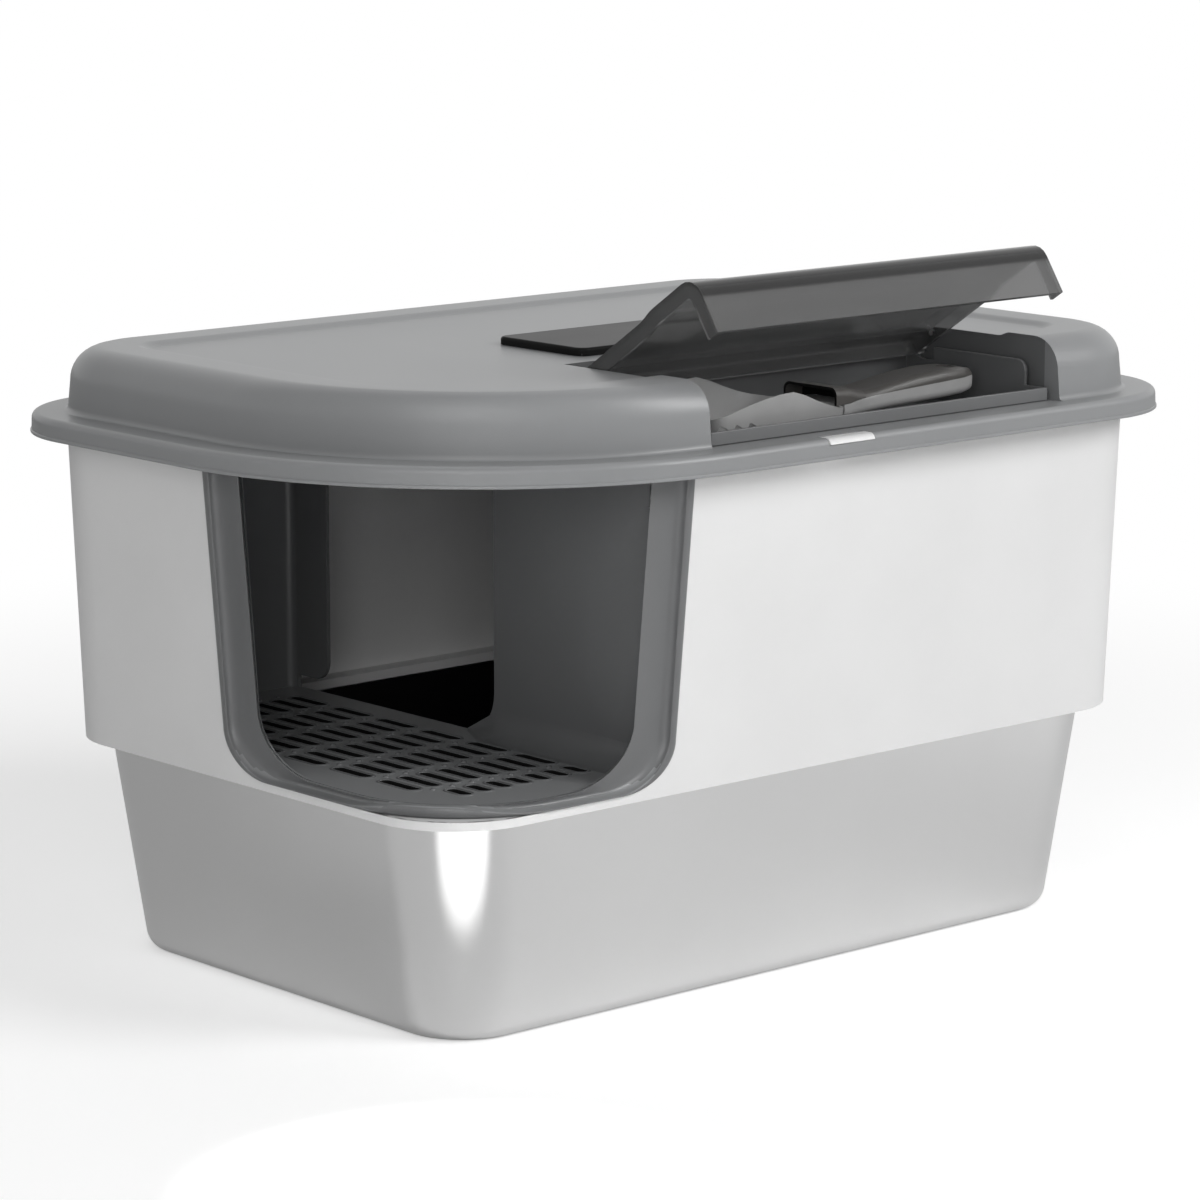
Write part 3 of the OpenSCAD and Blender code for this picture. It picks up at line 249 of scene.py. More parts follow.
MAT = {
    "grey": shade("grey_plastic", grey_of(0.245, COOL), grey_of(0.255, COOL),
                  rough=0.38, spread=0.03, grain=1400, bump=0.10),
    # Shaded copy of the grey plastic: painted shade in the entry, the tunnel, the tray and the lid's bay
    "grey_shade": shade("grey_plastic_painted_shade", grey_of(0.140, COOL), grey_of(0.148, COOL),
                       rough=0.36, spread=0.03, grain=1400, bump=0.10),
    "white": shade("white_plastic", grey_of(0.75), grey_of(0.77),
                   rough=0.45, spread=0.04, grain=1400, bump=0.08),
    "steel": shade("satin_steel", grey_of(0.79), grey_of(0.81),
                   rough=0.14, spread=0.01, grain=2600, bump=0.05, patch=9, Metallic=1.0),
    # Dark copy of the steel: painted shade inside the pan
    "steel_painted_shade": shade("steel_painted_shade", grey_of(0.07), grey_of(0.08),
                         rough=0.4, spread=0.02, grain=2600, bump=0.06, patch=9, Metallic=1.0),
    # Near black: painted shade in the floor's slots and in the scoop hood's mouth
    "slot": shade("painted_shade_slot_wall", grey_of(0.006), grey_of(0.01),
                  rough=0.8, grain=1400, bump=0.1, Specular_IOR_Level=0.1),
    "pin": shade("pin_steel", grey_of(0.5), grey_of(0.55),
                 rough=0.3, grain=2000, bump=0.1, patch=60, Metallic=1.0),
    "smoke": smoked("smoked_plastic", 0.26, 0.27, clear=0.85),
    # Lighter copy of the smoke for the flap's front: painted light, with painted shade mixed in near the
    # fold
    "smoke_front_lit": smoked("smoke_painted_light", 0.34, 0.36, clear=0.85),
    # Dark copy of the smoke: painted shade along the flap's fold
    "smoke_fold_shade": smoked("smoke_painted_shade", 0.018, 0.022, clear=0.1, Specular_IOR_Level=0.3),
    "black": shade("gloss_black", grey_of(0.012), grey_of(0.016),
                   rough=0.3, spread=0.03, grain=1200, bump=0.03, patch=20, Specular_IOR_Level=0.02),
    "taupe": shade("taupe_plastic", (0.063, 0.06, 0.057, 1), (0.075, 0.071, 0.067, 1),
                   rough=0.38, grain=1800, bump=0.2, patch=40),
    "pale": shade("pale_plastic", grey_of(0.33), grey_of(0.36),
                  rough=0.35, grain=1800, bump=0.15, patch=40),
    "rubber": shade("seal_rubber", grey_of(0.03), grey_of(0.045),
                    rough=0.7, spread=0.08, grain=1500, bump=0.3, patch=60),
    "carbon": shade("carbon_pad", grey_of(0.015), grey_of(0.05),
                    rough=0.9, grain=700, bump=0.9, patch=300),
}


# Shapes, with sizes in millimetres

# Steps on each corner of an outline, on its near corner and on each rounded edge
CORNER = 24
NEAR = 48
ROUND = 10

# Points nearer to each other than this many metres are one
WELD = 1e-6
CAD_WELD = 2e-6

# Faces that meet at less than this many degrees are one
FLAT_ANGLE = 1

# A face looks up when its direction's upward share is above the first, and along x above the second
UPRIGHT = 0.5
SIDEWAYS = 0.3


def arc(cx, cy, r, start, steps):
    return [(cx + r * math.cos(math.radians(start + i * 90 / steps)),
             cy + r * math.sin(math.radians(start + i * 90 / steps))) for i in range(steps + 1)]


def outline(hx, hy, r, rn):
    """A rectangle of half sizes hx and hy with corners of radius r, the near one of radius rn."""
    return (arc(hx - r, hy - r, r, 0, CORNER) + arc(r - hx, hy - r, r, 90, CORNER)
            + arc(rn - hx, rn - hy, rn, 180, NEAR) + arc(hx - r, r - hy, r, 270, CORNER))


def ring(hx, hy, r, rn, grow, z):
    return [(x, y, z) for x, y in outline(hx + grow, hy + grow, r + grow, rn + grow)]


def piece(name, points, faces, mat=None):
    mesh = bpy.data.meshes.new(name)
    mesh.from_pydata([(x * MM, y * MM, z * MM) for x, y, z in points], [], faces)
    mesh.validate()
    obj = bpy.data.objects.new(name, mesh)
    bpy.context.scene.collection.objects.link(obj)
    bm = bmesh.new()
    bm.from_mesh(mesh)
    bmesh.ops.remove_doubles(bm, verts=bm.verts, dist=WELD)
    bmesh.ops.recalc_face_normals(bm, faces=bm.faces)
    bm.to_mesh(mesh)
    bm.free()
    if mat:
        mesh.materials.append(MAT[mat])
    return obj


def skin(rows, looped=False, base=0):
    """Quads between rows of points, each row a closed ring."""
    m = len(rows[0])
    faces = []
    for i in range(len(rows) if looped else len(rows) - 1):
        k = (i + 1) % len(rows)
        for j in range(m):
            n = (j + 1) % m
            faces.append((base + i * m + j, base + i * m + n, base + k * m + n, base + k * m + j))
    return faces


def loft(name, rows, mat=None, looped=False):
    points = [p for row in rows for p in row]
    faces = skin(rows, looped)
    m = len(rows[0])
    if not looped:
        faces.append(tuple(range(m - 1, -1, -1)))
        faces.append(tuple(range((len(rows) - 1) * m, len(rows) * m)))
    return piece(name, points, faces, mat)


def block(name, lo, hi):
    x0, y0, z0 = lo
    x1, y1, z1 = hi
    return loft(name, [[(x0, y0, z), (x1, y0, z), (x1, y1, z), (x0, y1, z)] for z in (z0, z1)])


def combine(obj, tools, how="DIFFERENCE"):
    """Cuts the tools from obj, joins them to it or keeps what they share."""
    for tool in tools:
        mod = obj.modifiers.new("cut", "BOOLEAN")
        mod.operation = how
        mod.solver = "EXACT"
        mod.object = tool
        bake(obj)
        bpy.data.objects.remove(tool)
    return obj


def bake(obj):
    graph = bpy.context.evaluated_depsgraph_get()
    mesh = bpy.data.meshes.new_from_object(obj.evaluated_get(graph))
    old = obj.data
    obj.modifiers.clear()
    obj.data = mesh
    if old.users == 0:
        bpy.data.meshes.remove(old)


def soften(obj, width=0.0, segments=2, angle=35, smooth=35):
    """Rounds the sharp edges by width millimetres and smooths the rest."""
    bm = bmesh.new()
    bm.from_mesh(obj.data)
    bmesh.ops.remove_doubles(bm, verts=bm.verts, dist=CAD_WELD)
    bmesh.ops.dissolve_degenerate(bm, edges=bm.edges, dist=WELD)
    bm.to_mesh(obj.data)
    bm.free()
    if width:
        mod = obj.modifiers.new("bevel", "BEVEL")
        mod.width = width * MM
        mod.segments = segments
        mod.limit_method = "ANGLE"
        mod.angle_limit = math.radians(angle)
        mod.use_clamp_overlap = True
        bake(obj)
    obj.data.shade_smooth()
    obj.data.set_sharp_from_angle(angle=math.radians(smooth))
    mod = obj.modifiers.new("normals", "WEIGHTED_NORMAL")
    mod.keep_sharp = True
    bake(obj)
    return obj


def cad_copy(node, name, mat, body, width):
    """A copy of a CAD solid with rounded edges, in place of it."""
    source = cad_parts[node]
    obj = bpy.data.objects.new(name, source.data.copy())
    obj.data.materials.clear()
    obj.data.materials.append(MAT[mat])
    bpy.context.scene.collection.objects.link(obj)
    bm = bmesh.new()
    bm.from_mesh(obj.data)
    bmesh.ops.remove_doubles(bm, verts=bm.verts, dist=CAD_WELD)
    bmesh.ops.dissolve_limit(bm, angle_limit=math.radians(FLAT_ANGLE), verts=bm.verts, edges=bm.edges)
    bm.to_mesh(obj.data)
    bm.free()
    soften(obj, width)
    stand_in(obj, body, node)
    return obj


def paint(obj, mat, pick):
    """Gives mat to the faces that pick(normal, centre in millimetres) chooses."""
    obj.data.materials.append(MAT[mat])
    slot = len(obj.data.materials) - 1
    for face in obj.data.polygons:
        if pick(face.normal, face.center / MM):
            face.material_index = slot


def stand_in(obj, body, *nodes):
    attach(obj, body)
    if nodes:
        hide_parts(*nodes)


# Pan

PAN_H, PAN_WALL, PAN_FILLET, PAN_TURN, RIM = 133.7, 1, 12, 83, 2
PAN_FOOT_X, PAN_FOOT_Y, PAN_FOOT_R = 243.5, 150.2, 34.5
PAN_OUT_X, PAN_OUT_Y, PAN_OUT_R = 26.7, 26.5, 22.5
FILLET_SHARE = 0.82
BEAD_TURNS = range(-90, 121, 15)
PAN_FLOOR_TOP = 20


def pan_ring(share, grow, z):
    """The pan's outline, from its foot at share 0 to its rim at share 1."""
    r = PAN_FOOT_R + PAN_OUT_R * share
    return ring(PAN_FOOT_X + PAN_OUT_X * share, PAN_FOOT_Y + PAN_OUT_Y * share, r, r, grow, z)


def pan_shade_faces(n, c):
    facing_in = n.dot(Vector((c.x, c.y, 0))) < 0
    return c.z < PAN_H - 3 * RIM and facing_in or n.z > UPRIGHT and c.z < PAN_FLOOR_TOP


def make_pan():
    foot = PAN_FILLET * FILLET_SHARE / PAN_OUT_X
    turn = [math.radians(PAN_TURN * i / ROUND) for i in range(ROUND + 1)]
    outer = [pan_ring(foot * math.sin(a), 0, PAN_FILLET * (1 - math.cos(a))) for a in turn]
    inner = [pan_ring(foot * math.sin(a), -PAN_WALL * math.sin(a),
                      PAN_FILLET * (1 - math.cos(a)) + PAN_WALL * math.cos(a)) for a in reversed(turn)]
    side, middle = PAN_H - 2 * RIM, PAN_H - RIM
    bead = [pan_ring(1, RIM + RIM * math.cos(a), middle + RIM * math.sin(a))
            for a in [math.radians(d) for d in BEAD_TURNS]]
    fold = [pan_ring(1, -PAN_WALL, middle), pan_ring(1, -PAN_WALL, side)]
    pan = loft("pan_shell", outer + [pan_ring(1, 0, side)] + bead + fold + inner, "steel")
    soften(pan, 0, smooth=50)
    # Painted shade: the pan's inner walls and floor get the dark steel
    paint(pan, "steel_painted_shade", pan_shade_faces)
    stand_in(pan, "pan", "steel_pan")


# Enclosure

SKIRT_X, SKIRT_Y, SKIRT_R, NEAR_R = 281.5, 187.5, 55.2, 80
SKIRT_Z, SKIRT_TOP, SKIRT_T, LEAN = 131.1, 325.8, 2.5, 0.0378
LIP_X, LIP_Y, LIP_R = 267.5, 173.5, 57
SILL_Z, FRAME_TOP, FLOOR_Z = 136.1, 322, 143
LEDGE_Z, LEDGE_T, LIP_DROP = 135.2, 2.2, 3.5
MOUTH_C, MOUTH_HALF, MOUTH_MID, MOUTH_LEAN, MOUTH_R = -76.3, 135.4, 234, 0.069, 28
BAND_W, LAP_W, INNER_R, SILL_NOTCH = 23.5, 3.4, 36, 1.5
LUG_X, LUG_DEPTH, LUG_OUT, LUG_Z, LUG_TOP = 14, 7.25, 6, 319.5, 322
CUT_TOP, CUT_FAR, CUT_NEAR = 366, -420, -120


def lean_out(z):
    """How far the leaning wall has moved out at height z."""
    return LEAN * (z - SKIRT_Z)


def skirt_ring(grow, z):
    return ring(SKIRT_X, SKIRT_Y, SKIRT_R, SKIRT_R, grow + lean_out(z), z)


def lip_ring(grow, z):
    return ring(LIP_X, LIP_Y, LIP_R, LIP_R, grow, z)


def frame_ring(grow, z):
    """The wall's outline with the rounder near corner that the entry frame has."""
    return ring(SKIRT_X, SKIRT_Y, SKIRT_R, NEAR_R, grow + lean_out(z), z)


def mouth_edge(side, z, inset):
    return MOUTH_C + side * (MOUTH_HALF - inset + MOUTH_LEAN * (z - MOUTH_MID))


def mouth_path(inset, z0, z1, r, straight=24, turn=14, flat=24):
    """Points (across, up) along the U, from the left top to the right top."""
    bend = z0 + r
    drop = [z1 + (bend - z1) * i / straight for i in range(straight)]
    climb = [bend + (z1 - bend) * i / straight for i in range(1, straight + 1)]
    left = [(mouth_edge(-1, z, inset), z) for z in drop]
    right = [(mouth_edge(1, z, inset), z) for z in climb]
    la = arc(mouth_edge(-1, bend, inset) + r, bend, r, 180, turn)
    ra = arc(mouth_edge(1, bend, inset) - r, bend, r, 270, turn)
    low = [(la[-1][0] + (ra[0][0] - la[-1][0]) * i / flat, z0) for i in range(1, flat)]
    return left + la + low + ra + right


def mouth_tool(inset, z0, z1, r):
    """The mouth's U as a solid that runs diagonally through the near corner."""
    half = math.sqrt(0.5)
    path = mouth_path(inset, z0, z1, r)
    rows = [[((t + s) * half, (s - t) * half, z) for t, z in path] for s in (CUT_FAR, CUT_NEAR)]
    return loft("mouth_tool", rows)


def make_enclosure():
    top, shelf, lip = SKIRT_TOP, LEDGE_Z + LEDGE_T, LEDGE_Z - LIP_DROP
    rows = [skirt_ring(0, SKIRT_Z), skirt_ring(0, top), skirt_ring(-SKIRT_T, top),
            skirt_ring(-SKIRT_T, shelf), lip_ring(-LEDGE_T, shelf), lip_ring(-LEDGE_T, lip),
            lip_ring(0, lip), lip_ring(0, LEDGE_Z), skirt_ring(-SKIRT_T, LEDGE_Z),
            skirt_ring(-SKIRT_T, SKIRT_Z)]
    shell = loft("enclosure_shell", rows, "white", looped=True)
    lug_y = SKIRT_Y + lean_out(LUG_Z) + LUG_OUT
    lugs = [block("lug", (-LUG_X, y, LUG_Z), (LUG_X, y + LUG_DEPTH, LUG_TOP))
            for y in (-lug_y, lug_y - LUG_DEPTH)]
    combine(shell, lugs, "UNION")
    inner_tool = mouth_tool(LAP_W, 0, CUT_TOP, MOUTH_R - LAP_W)
    core = loft("core_tool", [skirt_ring(-SKIRT_T, 0), skirt_ring(-SKIRT_T, SKIRT_TOP)])
    combine(inner_tool, [core], "INTERSECT")
    combine(shell, [mouth_tool(LAP_W, SILL_Z, CUT_TOP, MOUTH_R - LAP_W), inner_tool])
    sill = loft("sill_tool", [skirt_ring(-SKIRT_T / 2, SKIRT_Z), skirt_ring(-SKIRT_T / 2, SILL_Z)])
    combine(sill, [loft("sill_cut", [frame_ring(-SILL_NOTCH, 0), frame_ring(-SILL_NOTCH, SKIRT_TOP)])])
    combine(sill, [mouth_tool(0, SKIRT_Z - 1, SKIRT_TOP, MOUTH_R)], "INTERSECT")
    combine(shell, [sill], "UNION")
    soften(shell, 0.5)
    stand_in(shell, "housing", "enclosure")


# Entry frame: a dished band with a bead round its outside, wrapped over the corner

def on_corner(t, z, grow):
    """The point of the frame's face at height z that lies t across the corner."""
    g = grow + lean_out(z)
    hx, hy, r = SKIRT_X + g, SKIRT_Y + g, NEAR_R + g
    u = t * math.sqrt(2)
    y = -hx - u
    if y >= r - hy:
        return (-hx, y, z)
    x = u - hy
    if x >= r - hx:
        return (x, -hy, z)
    cx, cy = r - hx, r - hy
    # x - y = u, on the circle round (cx, cy), on its near side
    d = u - cx + cy
    root = math.sqrt(max(0.0, 2 * r * r - d * d))
    px = (d - root) / 2
    return (cx + px, cy + px - d, z)


# The bead along the band's outer edge, and the rounded sill that it becomes at the foot, as pairs
# of (distance in, height out): in millimetres for the bead, as a share of the width for the sill
BEAD_SHAPE = [(0.0, 0.05), (0.0, 0.9), (0.35, 1.55), (1.1, 1.95), (2.2, 2.05), (3.2, 1.85), (4.0, 1.2),
              (4.6, 0.3)]
SILL_SHAPE = [(0, 0.05), (0, 0.9), (0.06, 1.55), (0.2, 1.95), (0.5, 2.05), (0.75, 1.9), (0.91, 1.35),
              (1, 0.4)]
BEAD_IN, BEAD_ROOM, BEAD_BACK = 4.6, 6.4, 3.8
SILL_FROM, SILL_OVER, SILL_OUT, SILL_FALL = 0.75, 0.42, 0.4, 4
BAND_IN, BAND_STEP, BAND_DISH, BAND_STEPS = 0.3, 1.6, 2.2, 12
BACK_IN, BACK_DISH, EDGE_IN, EDGE_LOW = 4.0, 2.4, 2.6, 1.1
FOOT_RAISE, SKIN_OUT, BAND_UPRIGHT = 0.3, 0.05, 0.6


def make_frame():
    outer = mouth_path(0, SILL_Z + FOOT_RAISE, FRAME_TOP, MOUTH_R)
    inner = mouth_path(BAND_W, FLOOR_Z, FRAME_TOP, INNER_R)
    columns = []
    for (to, zo), (ti, zi) in zip(outer, inner):
        w = math.hypot(ti - to, zi - zo)
        reach = min(1.0, w / BAND_W)
        room = min(1, w / BEAD_ROOM)
        low = min(1, max(0, (SILL_FROM - reach) / SILL_OVER))
        low = low * low * (3 - 2 * low)

        def at(d, g):
            return on_corner(to + (ti - to) * d / w, zo + (zi - zo) * d / w, g)

        row = []
        for (d, g), (e, h) in zip(BEAD_SHAPE, SILL_SHAPE):
            row.append(at(d * room * (1 - low) + e * w * low, g * (1 - low) + h * low))
        d0 = BEAD_IN * room
        for i in range(1, BAND_STEPS + 1):
            s = i / BAND_STEPS
            dish = -BAND_IN - BAND_STEP * min(1, s * 4) - BAND_DISH * reach * math.sin(math.pi * s)
            depth = dish * (1 - low) + (SILL_OUT - SILL_FALL * s) * low
            row.append(at((d0 + (w - d0) * s) * (1 - low) + w * low, depth))
        row.append(on_corner(ti, zi, -EDGE_IN - EDGE_LOW * low))
        row.append(on_corner(ti, zi, -BACK_IN))
        d0 = BEAD_BACK * room
        row.append(at((w + d0) / 2, -BACK_IN - BACK_DISH * reach * (1 - low)))
        row.append(at(d0, -BACK_IN))
        row.append(at(d0, SKIN_OUT))
        columns.append(row)
    # Painted light and shade: the band is the shaded grey, and its faces that look up are painted the
    # lighter grey
    band = loft("entry_band", columns, "grey_shade")
    soften(band, 0, smooth=60)
    paint(band, "grey", lambda n, c: n.z > BAND_UPRIGHT)
    stand_in(band, "housing", "entry_frame")


# Tunnel: slotted floor with a thin rim round each slot and small bumps between the rows

TUN_X0, TUN_X1, TUN_Y0, TUN_Y1, TUN_T = -277.2, -122.5, -183.2, 152.5, 2.5
SLOT_X, SLOT_Y, SLOT_DX, SLOT_DY, SLOT_COLS, SLOT_ROWS = -246.5, -106, 14.3, 42.5, 8, 6
SLOT_W, SLOT_LEN, SLOT_SHORT, SHORT_IN = 7, 32, 18, 42.2
SLOTS = ([(SLOT_X + i * SLOT_DX, SLOT_Y + j * SLOT_DY, SLOT_LEN)
          for i in range(SLOT_COLS) for j in range(SLOT_ROWS)]
         + [(SLOT_X + i * SLOT_DX, TUN_Y0 + SHORT_IN, SLOT_SHORT) for i in range(1, SLOT_COLS)])

# The rim's section as pairs of (distance from the slot's edge, height over the floor)
RIM_SHAPE = [(2.2, -0.2), (1.9, 0.35), (1.2, 0.7), (0.5, 0.35), (0.2, -0.2)]
# A bump's section as pairs of (radius, height over the floor)
BUMP_SHAPE = [(1.9, -0.1), (1.6, 0.5), (0.9, 0.95), (0.2, 1.1)]
BUMP_STEPS, FRONT_BUMP_IN = 12, 20.5
# Insets from the tunnel's walls, in millimetres, within which the slot walls get painted shade
SLOT_FACE_IN, SLOT_FACE_RIGHT, SLOT_FACE_REAR = 20, 5, 15
COVE_R, COVE_START, COVE_END, COVE_FADE, COVE_SLOPE, COVE_LEAST = 16, 6, -20, 28, 30, 0.08
COVE_SINK, COVE_STEPS, COVE_TURNS = 0.3, 40, 10


def circle(x, y, r, z, steps):
    turn = [2 * math.pi * i / steps for i in range(steps)]
    return [(x + r * math.cos(a), y + r * math.sin(a), z) for a in turn]


def capsule(x, y, half, r, z, steps=9):
    turn = [math.radians(180 * i / steps) for i in range(steps + 1)]
    return ([(x + r * math.cos(a), y + half + r * math.sin(a), z) for a in turn]
            + [(x - r * math.cos(a), y - half - r * math.sin(a), z) for a in turn])


def painted_shade_slot_wall(n, c):
    return (abs(n.z) < UPRIGHT and c.z < FLOOR_Z and TUN_X0 + SLOT_FACE_IN < c.x < TUN_X1 - SLOT_FACE_RIGHT
            and TUN_Y0 + SLOT_FACE_IN < c.y < TUN_Y1 - SLOT_FACE_REAR)


def make_rims():
    points, faces = [], []
    half = SLOT_W / 2
    for x, y, length in SLOTS:
        rows = [capsule(x, y, length / 2 - half, half + r, FLOOR_Z + z) for r, z in RIM_SHAPE]
        faces += skin(rows, base=len(points))
        points += [p for row in rows for p in row]
    places_y = [SLOT_Y - FRONT_BUMP_IN] + [SLOT_Y + (j + 0.5) * SLOT_DY for j in range(SLOT_ROWS)]
    for i in range(SLOT_COLS - 1):
        for y in places_y:
            x = SLOT_X + (i + 0.5) * SLOT_DX
            rows = [circle(x, y, r, FLOOR_Z + z, BUMP_STEPS) for r, z in BUMP_SHAPE]
            faces += skin(rows, base=len(points))
            points += [p for row in rows for p in row]
            faces.append(tuple(range(len(points) - BUMP_STEPS, len(points))))
    # Painted shade: the rims and bumps get the shaded grey
    rims = piece("grate_rims", points, faces, "grey_shade")
    soften(rims, 0, smooth=60)
    stand_in(rims, "housing")


def make_cove():
    """The round where the floor meets the wall beside the exit window."""
    wall, low, start = TUN_X1 - TUN_T, FLOOR_Z - COVE_SINK, TUN_Y0 + COVE_START
    rows = []
    for i in range(COVE_STEPS + 1):
        y = start + (COVE_END - start) * i / COVE_STEPS
        left = COVE_END - y
        r = COVE_R * min(1, COVE_LEAST + left / COVE_SLOPE) if left < COVE_FADE else COVE_R
        turn = [math.radians(90 * k / COVE_TURNS) for k in range(COVE_TURNS + 1)]
        rows.append([(wall + COVE_SINK, y, low), (wall - r, y, low)]
                    + [(wall - r * (1 - math.sin(a)), y, FLOOR_Z + r * (1 - math.cos(a))) for a in turn]
                    + [(wall + COVE_SINK, y, FLOOR_Z + r)])
    # Painted shade: the cove gets the shaded grey
    cove = loft("floor_cove", rows, "grey_shade")
    soften(cove, 0, smooth=30)
    stand_in(cove, "housing")


def make_tunnel():
    # Painted light and shade: the liner is the shaded grey, with its upward faces painted the lighter grey
    liner = cad_copy("entry_tunnel", "tunnel_liner", "grey_shade", "housing", 0.5)
    paint(liner, "grey", lambda n, c: n.z > UPRIGHT)
    # Painted shade: the slot walls are near black
    paint(liner, "slot", painted_shade_slot_wall)
    make_cove()
    make_rims()


# Lid

FLANGE_X, FLANGE_Y, FLANGE_R, FLANGE_NEAR_R = 310, 215.5, 82, 222
FLANGE_Z0, FLANGE_Z1, FLANGE_ROUND, FLANGE_FOOT, LID_T = 316.5, 329, 4, 0.9, 2.8
DOME_X, DOME_Y, DOME_R, DOME_NEAR_R, DOME_NEAR_SHARE = 288, 198, 68, 205, 1.4
DOME_Z, DOME_ROUND, DOME_DRAFT, DOME_BAND, STEP_W, STEP_H = 366.5, 20, 1.5, 20, 10, 2.5
BAY_X0, BAY_X1, BAY_Y0, BAY_Y1, BAY_Z = -94, 191, -185.5, -71.5, 317
FILTER_X0, FILTER_X1, FILTER_Y0, FILTER_Y1, FILTER_Z, FILTER_TOP = -61.2, 156.2, -50.2, 18.2, 340, 380
LATCH_X, LATCH_Y, LATCH_Z = 18, 203.6, 325
SHELF_IN, STEP_STEPS, OUTSIDE, ABOVE, NUDGE = 5, 8, 260, 400, 0.01
# The curve from the flange up to the dome, and the flange's lower edge, as pairs of (inset, height)
FOOT_SHAPE = [(-3.2, 0.0), (-1.9, 0.25), (-0.8, 0.9), (-0.1, 2.0), (0.1, 3.6)]
HEM_SHAPE = [(0.3, 0), (0, 0.3), (0, 1.5), (0.3, 1.9), (0.7, 2.1)]
PANEL_Z = DOME_Z - STEP_H
SHELF_Z = FLANGE_Z1 - LID_T


def dome_ring(inset, z, t=0):
    near = DOME_NEAR_R - DOME_NEAR_SHARE * (inset - t)
    return ring(DOME_X, DOME_Y, DOME_R, near, -inset, z)


def flange_ring(inset, z):
    return ring(FLANGE_X, FLANGE_Y, FLANGE_R, FLANGE_NEAR_R, -inset, z)


def dome_edge(a, t):
    return (DOME_DRAFT + t + (DOME_ROUND - t) * (1 - math.sin(math.radians(a))),
            DOME_Z - DOME_ROUND + (DOME_ROUND - t) * math.cos(math.radians(a)))


def dome_step(share, t):
    return (DOME_DRAFT + DOME_ROUND + DOME_BAND + STEP_W * share,
            DOME_Z - t - STEP_H * (1 - math.cos(math.pi * share)) / 2)


def flange_edge(a):
    """The flange's rounded top edge, at a degrees of its turn."""
    return (FLANGE_FOOT + FLANGE_ROUND * (1 - math.cos(math.radians(a))),
            FLANGE_Z1 - FLANGE_ROUND * (1 - math.sin(math.radians(a))))


def in_bay(n, c):
    return (BAY_X0 - 1 < c.x < BAY_X1 + 1 and BAY_Y0 - 1 < c.y < BAY_Y1 + 1
            and BAY_Z - 1 < c.z < PANEL_Z - 1)


def make_lid():
    turn = [90 * i / ROUND for i in range(ROUND + 1)]
    shares = [i / STEP_STEPS for i in range(STEP_STEPS + 1)]
    outer = ([(p, FLANGE_Z1 + q) for p, q in FOOT_SHAPE] + [dome_edge(90 - a, 0) for a in turn]
             + [dome_step(s, 0) for s in shares])
    inner = ([dome_step(1 - s, LID_T) for s in shares] + [dome_edge(a, LID_T) for a in turn]
             + [(LID_T, FLANGE_Z1), (LID_T + SHELF_IN, FLANGE_Z1), (LID_T + SHELF_IN, SHELF_Z)])
    flange = ([(LID_T, SHELF_Z), (LID_T, FLANGE_Z0)] + [(p, FLANGE_Z0 + q) for p, q in HEM_SHAPE]
              + [flange_edge(a) for a in turn])
    rows = ([dome_ring(p, z, LID_T) for p, z in inner] + [flange_ring(p, z) for p, z in flange]
            + [dome_ring(p, z) for p, z in outer])
    lid = loft("lid_shell", rows, "grey")
    dome = [dome_ring(p, z) for p, z in outer[len(FOOT_SHAPE):]]
    solid = loft("dome_tool", [dome_ring(0, SHELF_Z)] + dome)
    around = block("bay_tool", (BAY_X0 - LID_T, -DOME_Y, SHELF_Z), (BAY_X1 + LID_T, BAY_Y1 + LID_T, ABOVE))
    combine(solid, [around], "INTERSECT")
    under = block("bay_tool", (BAY_X0 - LID_T, BAY_Y0 - LID_T, BAY_Z - LID_T),
                  (BAY_X1 + LID_T, BAY_Y1 + LID_T, FLANGE_Z1 - NUDGE))
    combine(lid, [solid, under], "UNION")
    tools = [block("bay_tool", (BAY_X0, BAY_Y0, BAY_Z), (BAY_X1, BAY_Y1, ABOVE)),
             block("bay_tool", (BAY_X0, -OUTSIDE, FLANGE_Z1), (BAY_X1, BAY_Y0 + NUDGE, ABOVE)),
             block("filter_tool", (FILTER_X0, FILTER_Y0, FILTER_Z), (FILTER_X1, FILTER_Y1, FILTER_TOP))]
    for s in (-1, 1):
        y0, y1 = sorted((s * OUTSIDE, s * LATCH_Y))
        tools.append(block("latch_tool", (-LATCH_X, y0, LATCH_Z), (LATCH_X, y1, ABOVE)))
    combine(lid, tools)
    soften(lid, 0.8, segments=3, angle=40, smooth=38)
    # Painted shade: the faces inside the bay get the shaded grey
    paint(lid, "grey_shade", in_bay)
    stand_in(lid, "housing", "lid")


# Flap: smoked plastic, with painted shade along its fold and on its front next to the fold, and a painted
# lighter front below

HINGE_Y, HINGE_Z, FLAP_OPEN = -93, 360.5, 33.5
# Painted shade along the flap's fold: its height, softness and tone, and the turns of the faces that get it
FOLD_UP, FOLD_SOFT, FOLD_SHADE_TONE = -8, 1.2, 0.02
FOLD_FROM, FOLD_TO = 12, 80
FRONT_OUT, FRONT_LOOSE = 60, 10


def closed_turn(n):
    """The direction of a face in degrees as on the closed flap, from 0 for up to 90 for its front."""
    return math.degrees(math.atan2(-n.y, n.z)) + FLAP_OPEN


def fold_shade_part(n, c):
    return abs(n.x) < SIDEWAYS and FOLD_FROM < closed_turn(n) < FOLD_TO


def front_part(n, c):
    """True for the outer and inner faces of the flap's front."""
    across = min(abs(closed_turn(n) - 90), abs(closed_turn(n) + 90))
    return abs(n.x) < SIDEWAYS and across < FRONT_LOOSE and c.y < HINGE_Y - FRONT_OUT


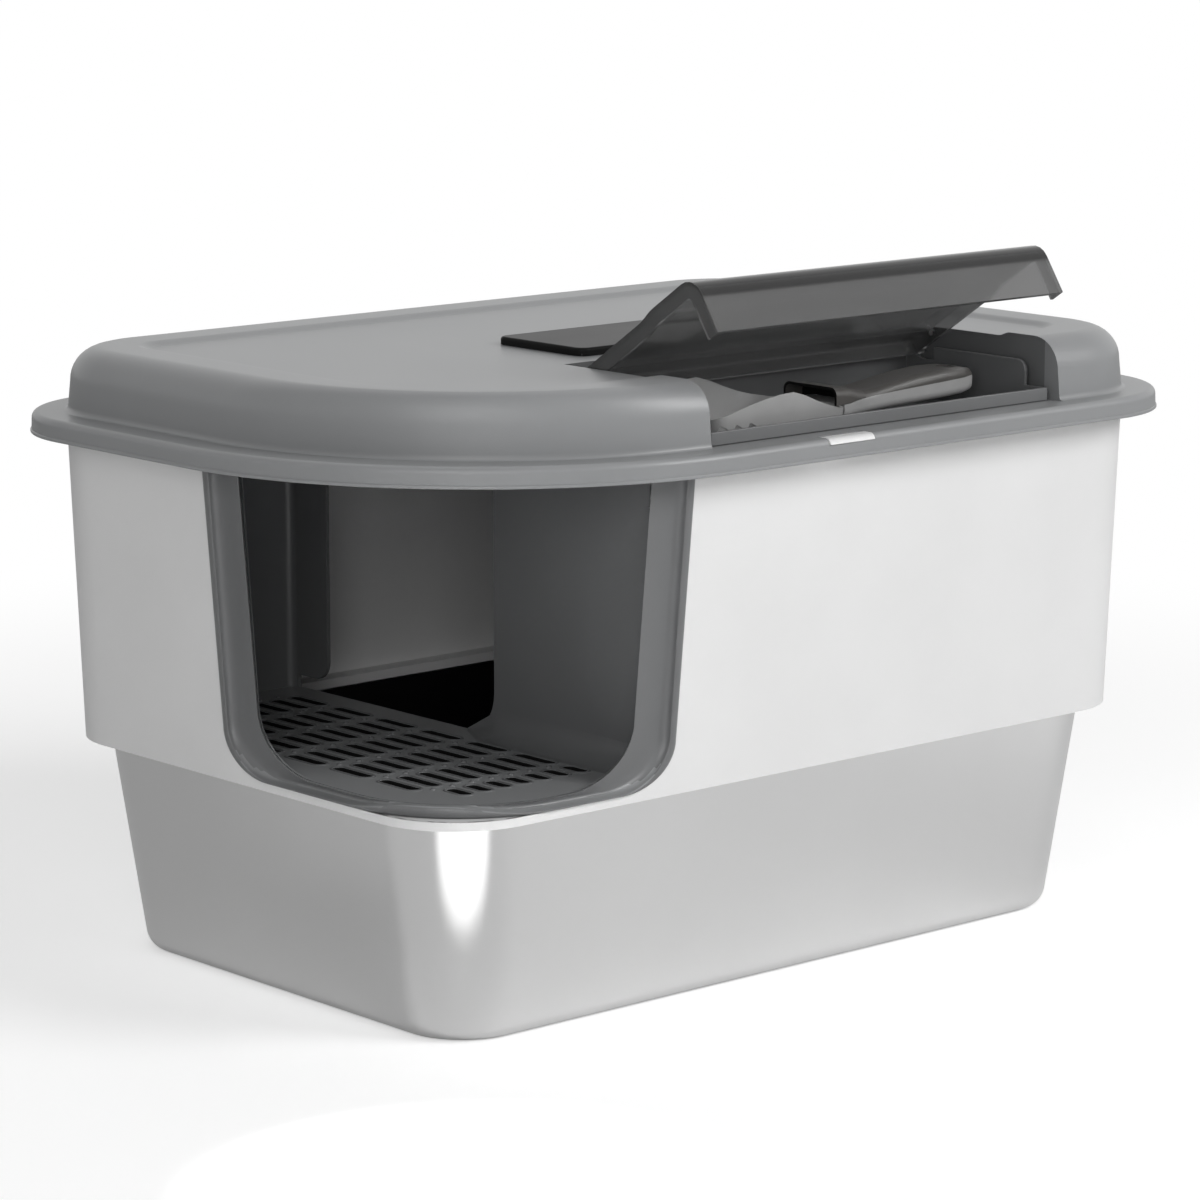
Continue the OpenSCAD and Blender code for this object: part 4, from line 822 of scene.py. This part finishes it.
def paint_fold_shade(mat):
    """Paints shade on the flap's front next to the fold, and leaves it clear below."""
    nt = mat.node_tree
    base = nt.nodes["Principled BSDF"].inputs["Base Color"]
    tone = base.links[0].from_socket
    turn = math.radians(FLAP_OPEN)
    fold = MM * (HINGE_Y * math.sin(turn) + HINGE_Z * math.cos(turn) + FOLD_UP)
    up = add_node(nt, "VectorMath", "DOT_PRODUCT")
    up.inputs[1].default_value = (0, math.sin(turn), math.cos(turn))
    part = add_node(nt, "MapRange", From_Min=fold - FOLD_SOFT * MM, From_Max=fold + FOLD_SOFT * MM)
    part.interpolation_type = "SMOOTHSTEP"
    mix = nt.nodes.new("ShaderNodeMix")
    mix.data_type = "RGBA"
    factor, clear, dark, result = mix.inputs[0], mix.inputs[6], mix.inputs[7], mix.outputs[2]
    dark.default_value = grey_of(FOLD_SHADE_TONE)
    join(nt, (object_place(nt), up.inputs[0]), (up.outputs["Value"], part.inputs["Value"]),
         (part.outputs["Result"], factor), (tone, clear), (result, base))


def make_flap():
    flap = cad_copy("flap", "flap_plate", "smoke", "flap", 0.5)
    paint_fold_shade(MAT["smoke_front_lit"])
    # Painted shade: the faces along the fold get the dark smoke
    paint(flap, "smoke_fold_shade", fold_shade_part)
    # Painted light: the front faces get the lighter smoke, darkened with painted shade towards the fold
    paint(flap, "smoke_front_lit", front_part)


# Latches, filter and scoop: copies of the solids with rounded edges

# SCOOP_Y, HOOD_HALF and HOOD_SHARE pick the hood's mouth, which gets painted shade
SCOOP_Y, HOOD_HALF, HOOD_SHARE = -140.35, 19, 0.2

ROUNDED = (
    ("front_latch", "front_latch_tab", "white", "front_latch", 0.4),
    ("rear_latch", "rear_latch_tab", "white", "rear_latch", 0.4),
    # Painted shade: the tray in the bay gets the shaded grey
    ("scoop_tray", "tray_liner", "grey_shade", "housing", 0.6),
    ("filter_cover", "filter_plate", "black", "filter", 0.3),
    ("scoop_collar", "scoop_hood", "taupe", "scoop", 0.3),
    ("scoop_blade", "scoop_shell", "pale", "scoop", 0.3),
    ("scoop_handle_upper", "scoop_grip_top", "taupe", "scoop", 0.4),
    ("scoop_handle_lower", "scoop_grip_base", "pale", "scoop", 0.4),
)

# Hidden pieces that keep the solid's own shape
PLAIN = {"rim_seal": "rubber", "frame_screws": "pin", "flap_pins": "pin", "latch_pins": "pin",
         "filter_tray": "grey", "carbon_filter": "carbon", "scoop_rivets": "pin"}


def hood_mouth(n, c):
    return n.x < -HOOD_SHARE and n.z < HOOD_SHARE and abs(c.y - SCOOP_Y) < HOOD_HALF


def make_copies():
    copies = {name: cad_copy(node, name, *values) for node, name, *values in ROUNDED}
    # Painted shade: the hood's mouth is near black
    paint(copies["scoop_hood"], "slot", hood_mouth)


def dress(node, mat):
    """Gives mat to a CAD solid that is shown as it is."""
    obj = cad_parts[node]
    for slot in obj.material_slots:
        slot.material = MAT[mat]
    if not obj.material_slots:
        obj.data.materials.append(MAT[mat])


def main():
    studio()
    make_pan()
    make_enclosure()
    make_frame()
    make_tunnel()
    make_lid()
    make_flap()
    make_copies()
    for node, mat in PLAIN.items():
        dress(node, mat)


main()
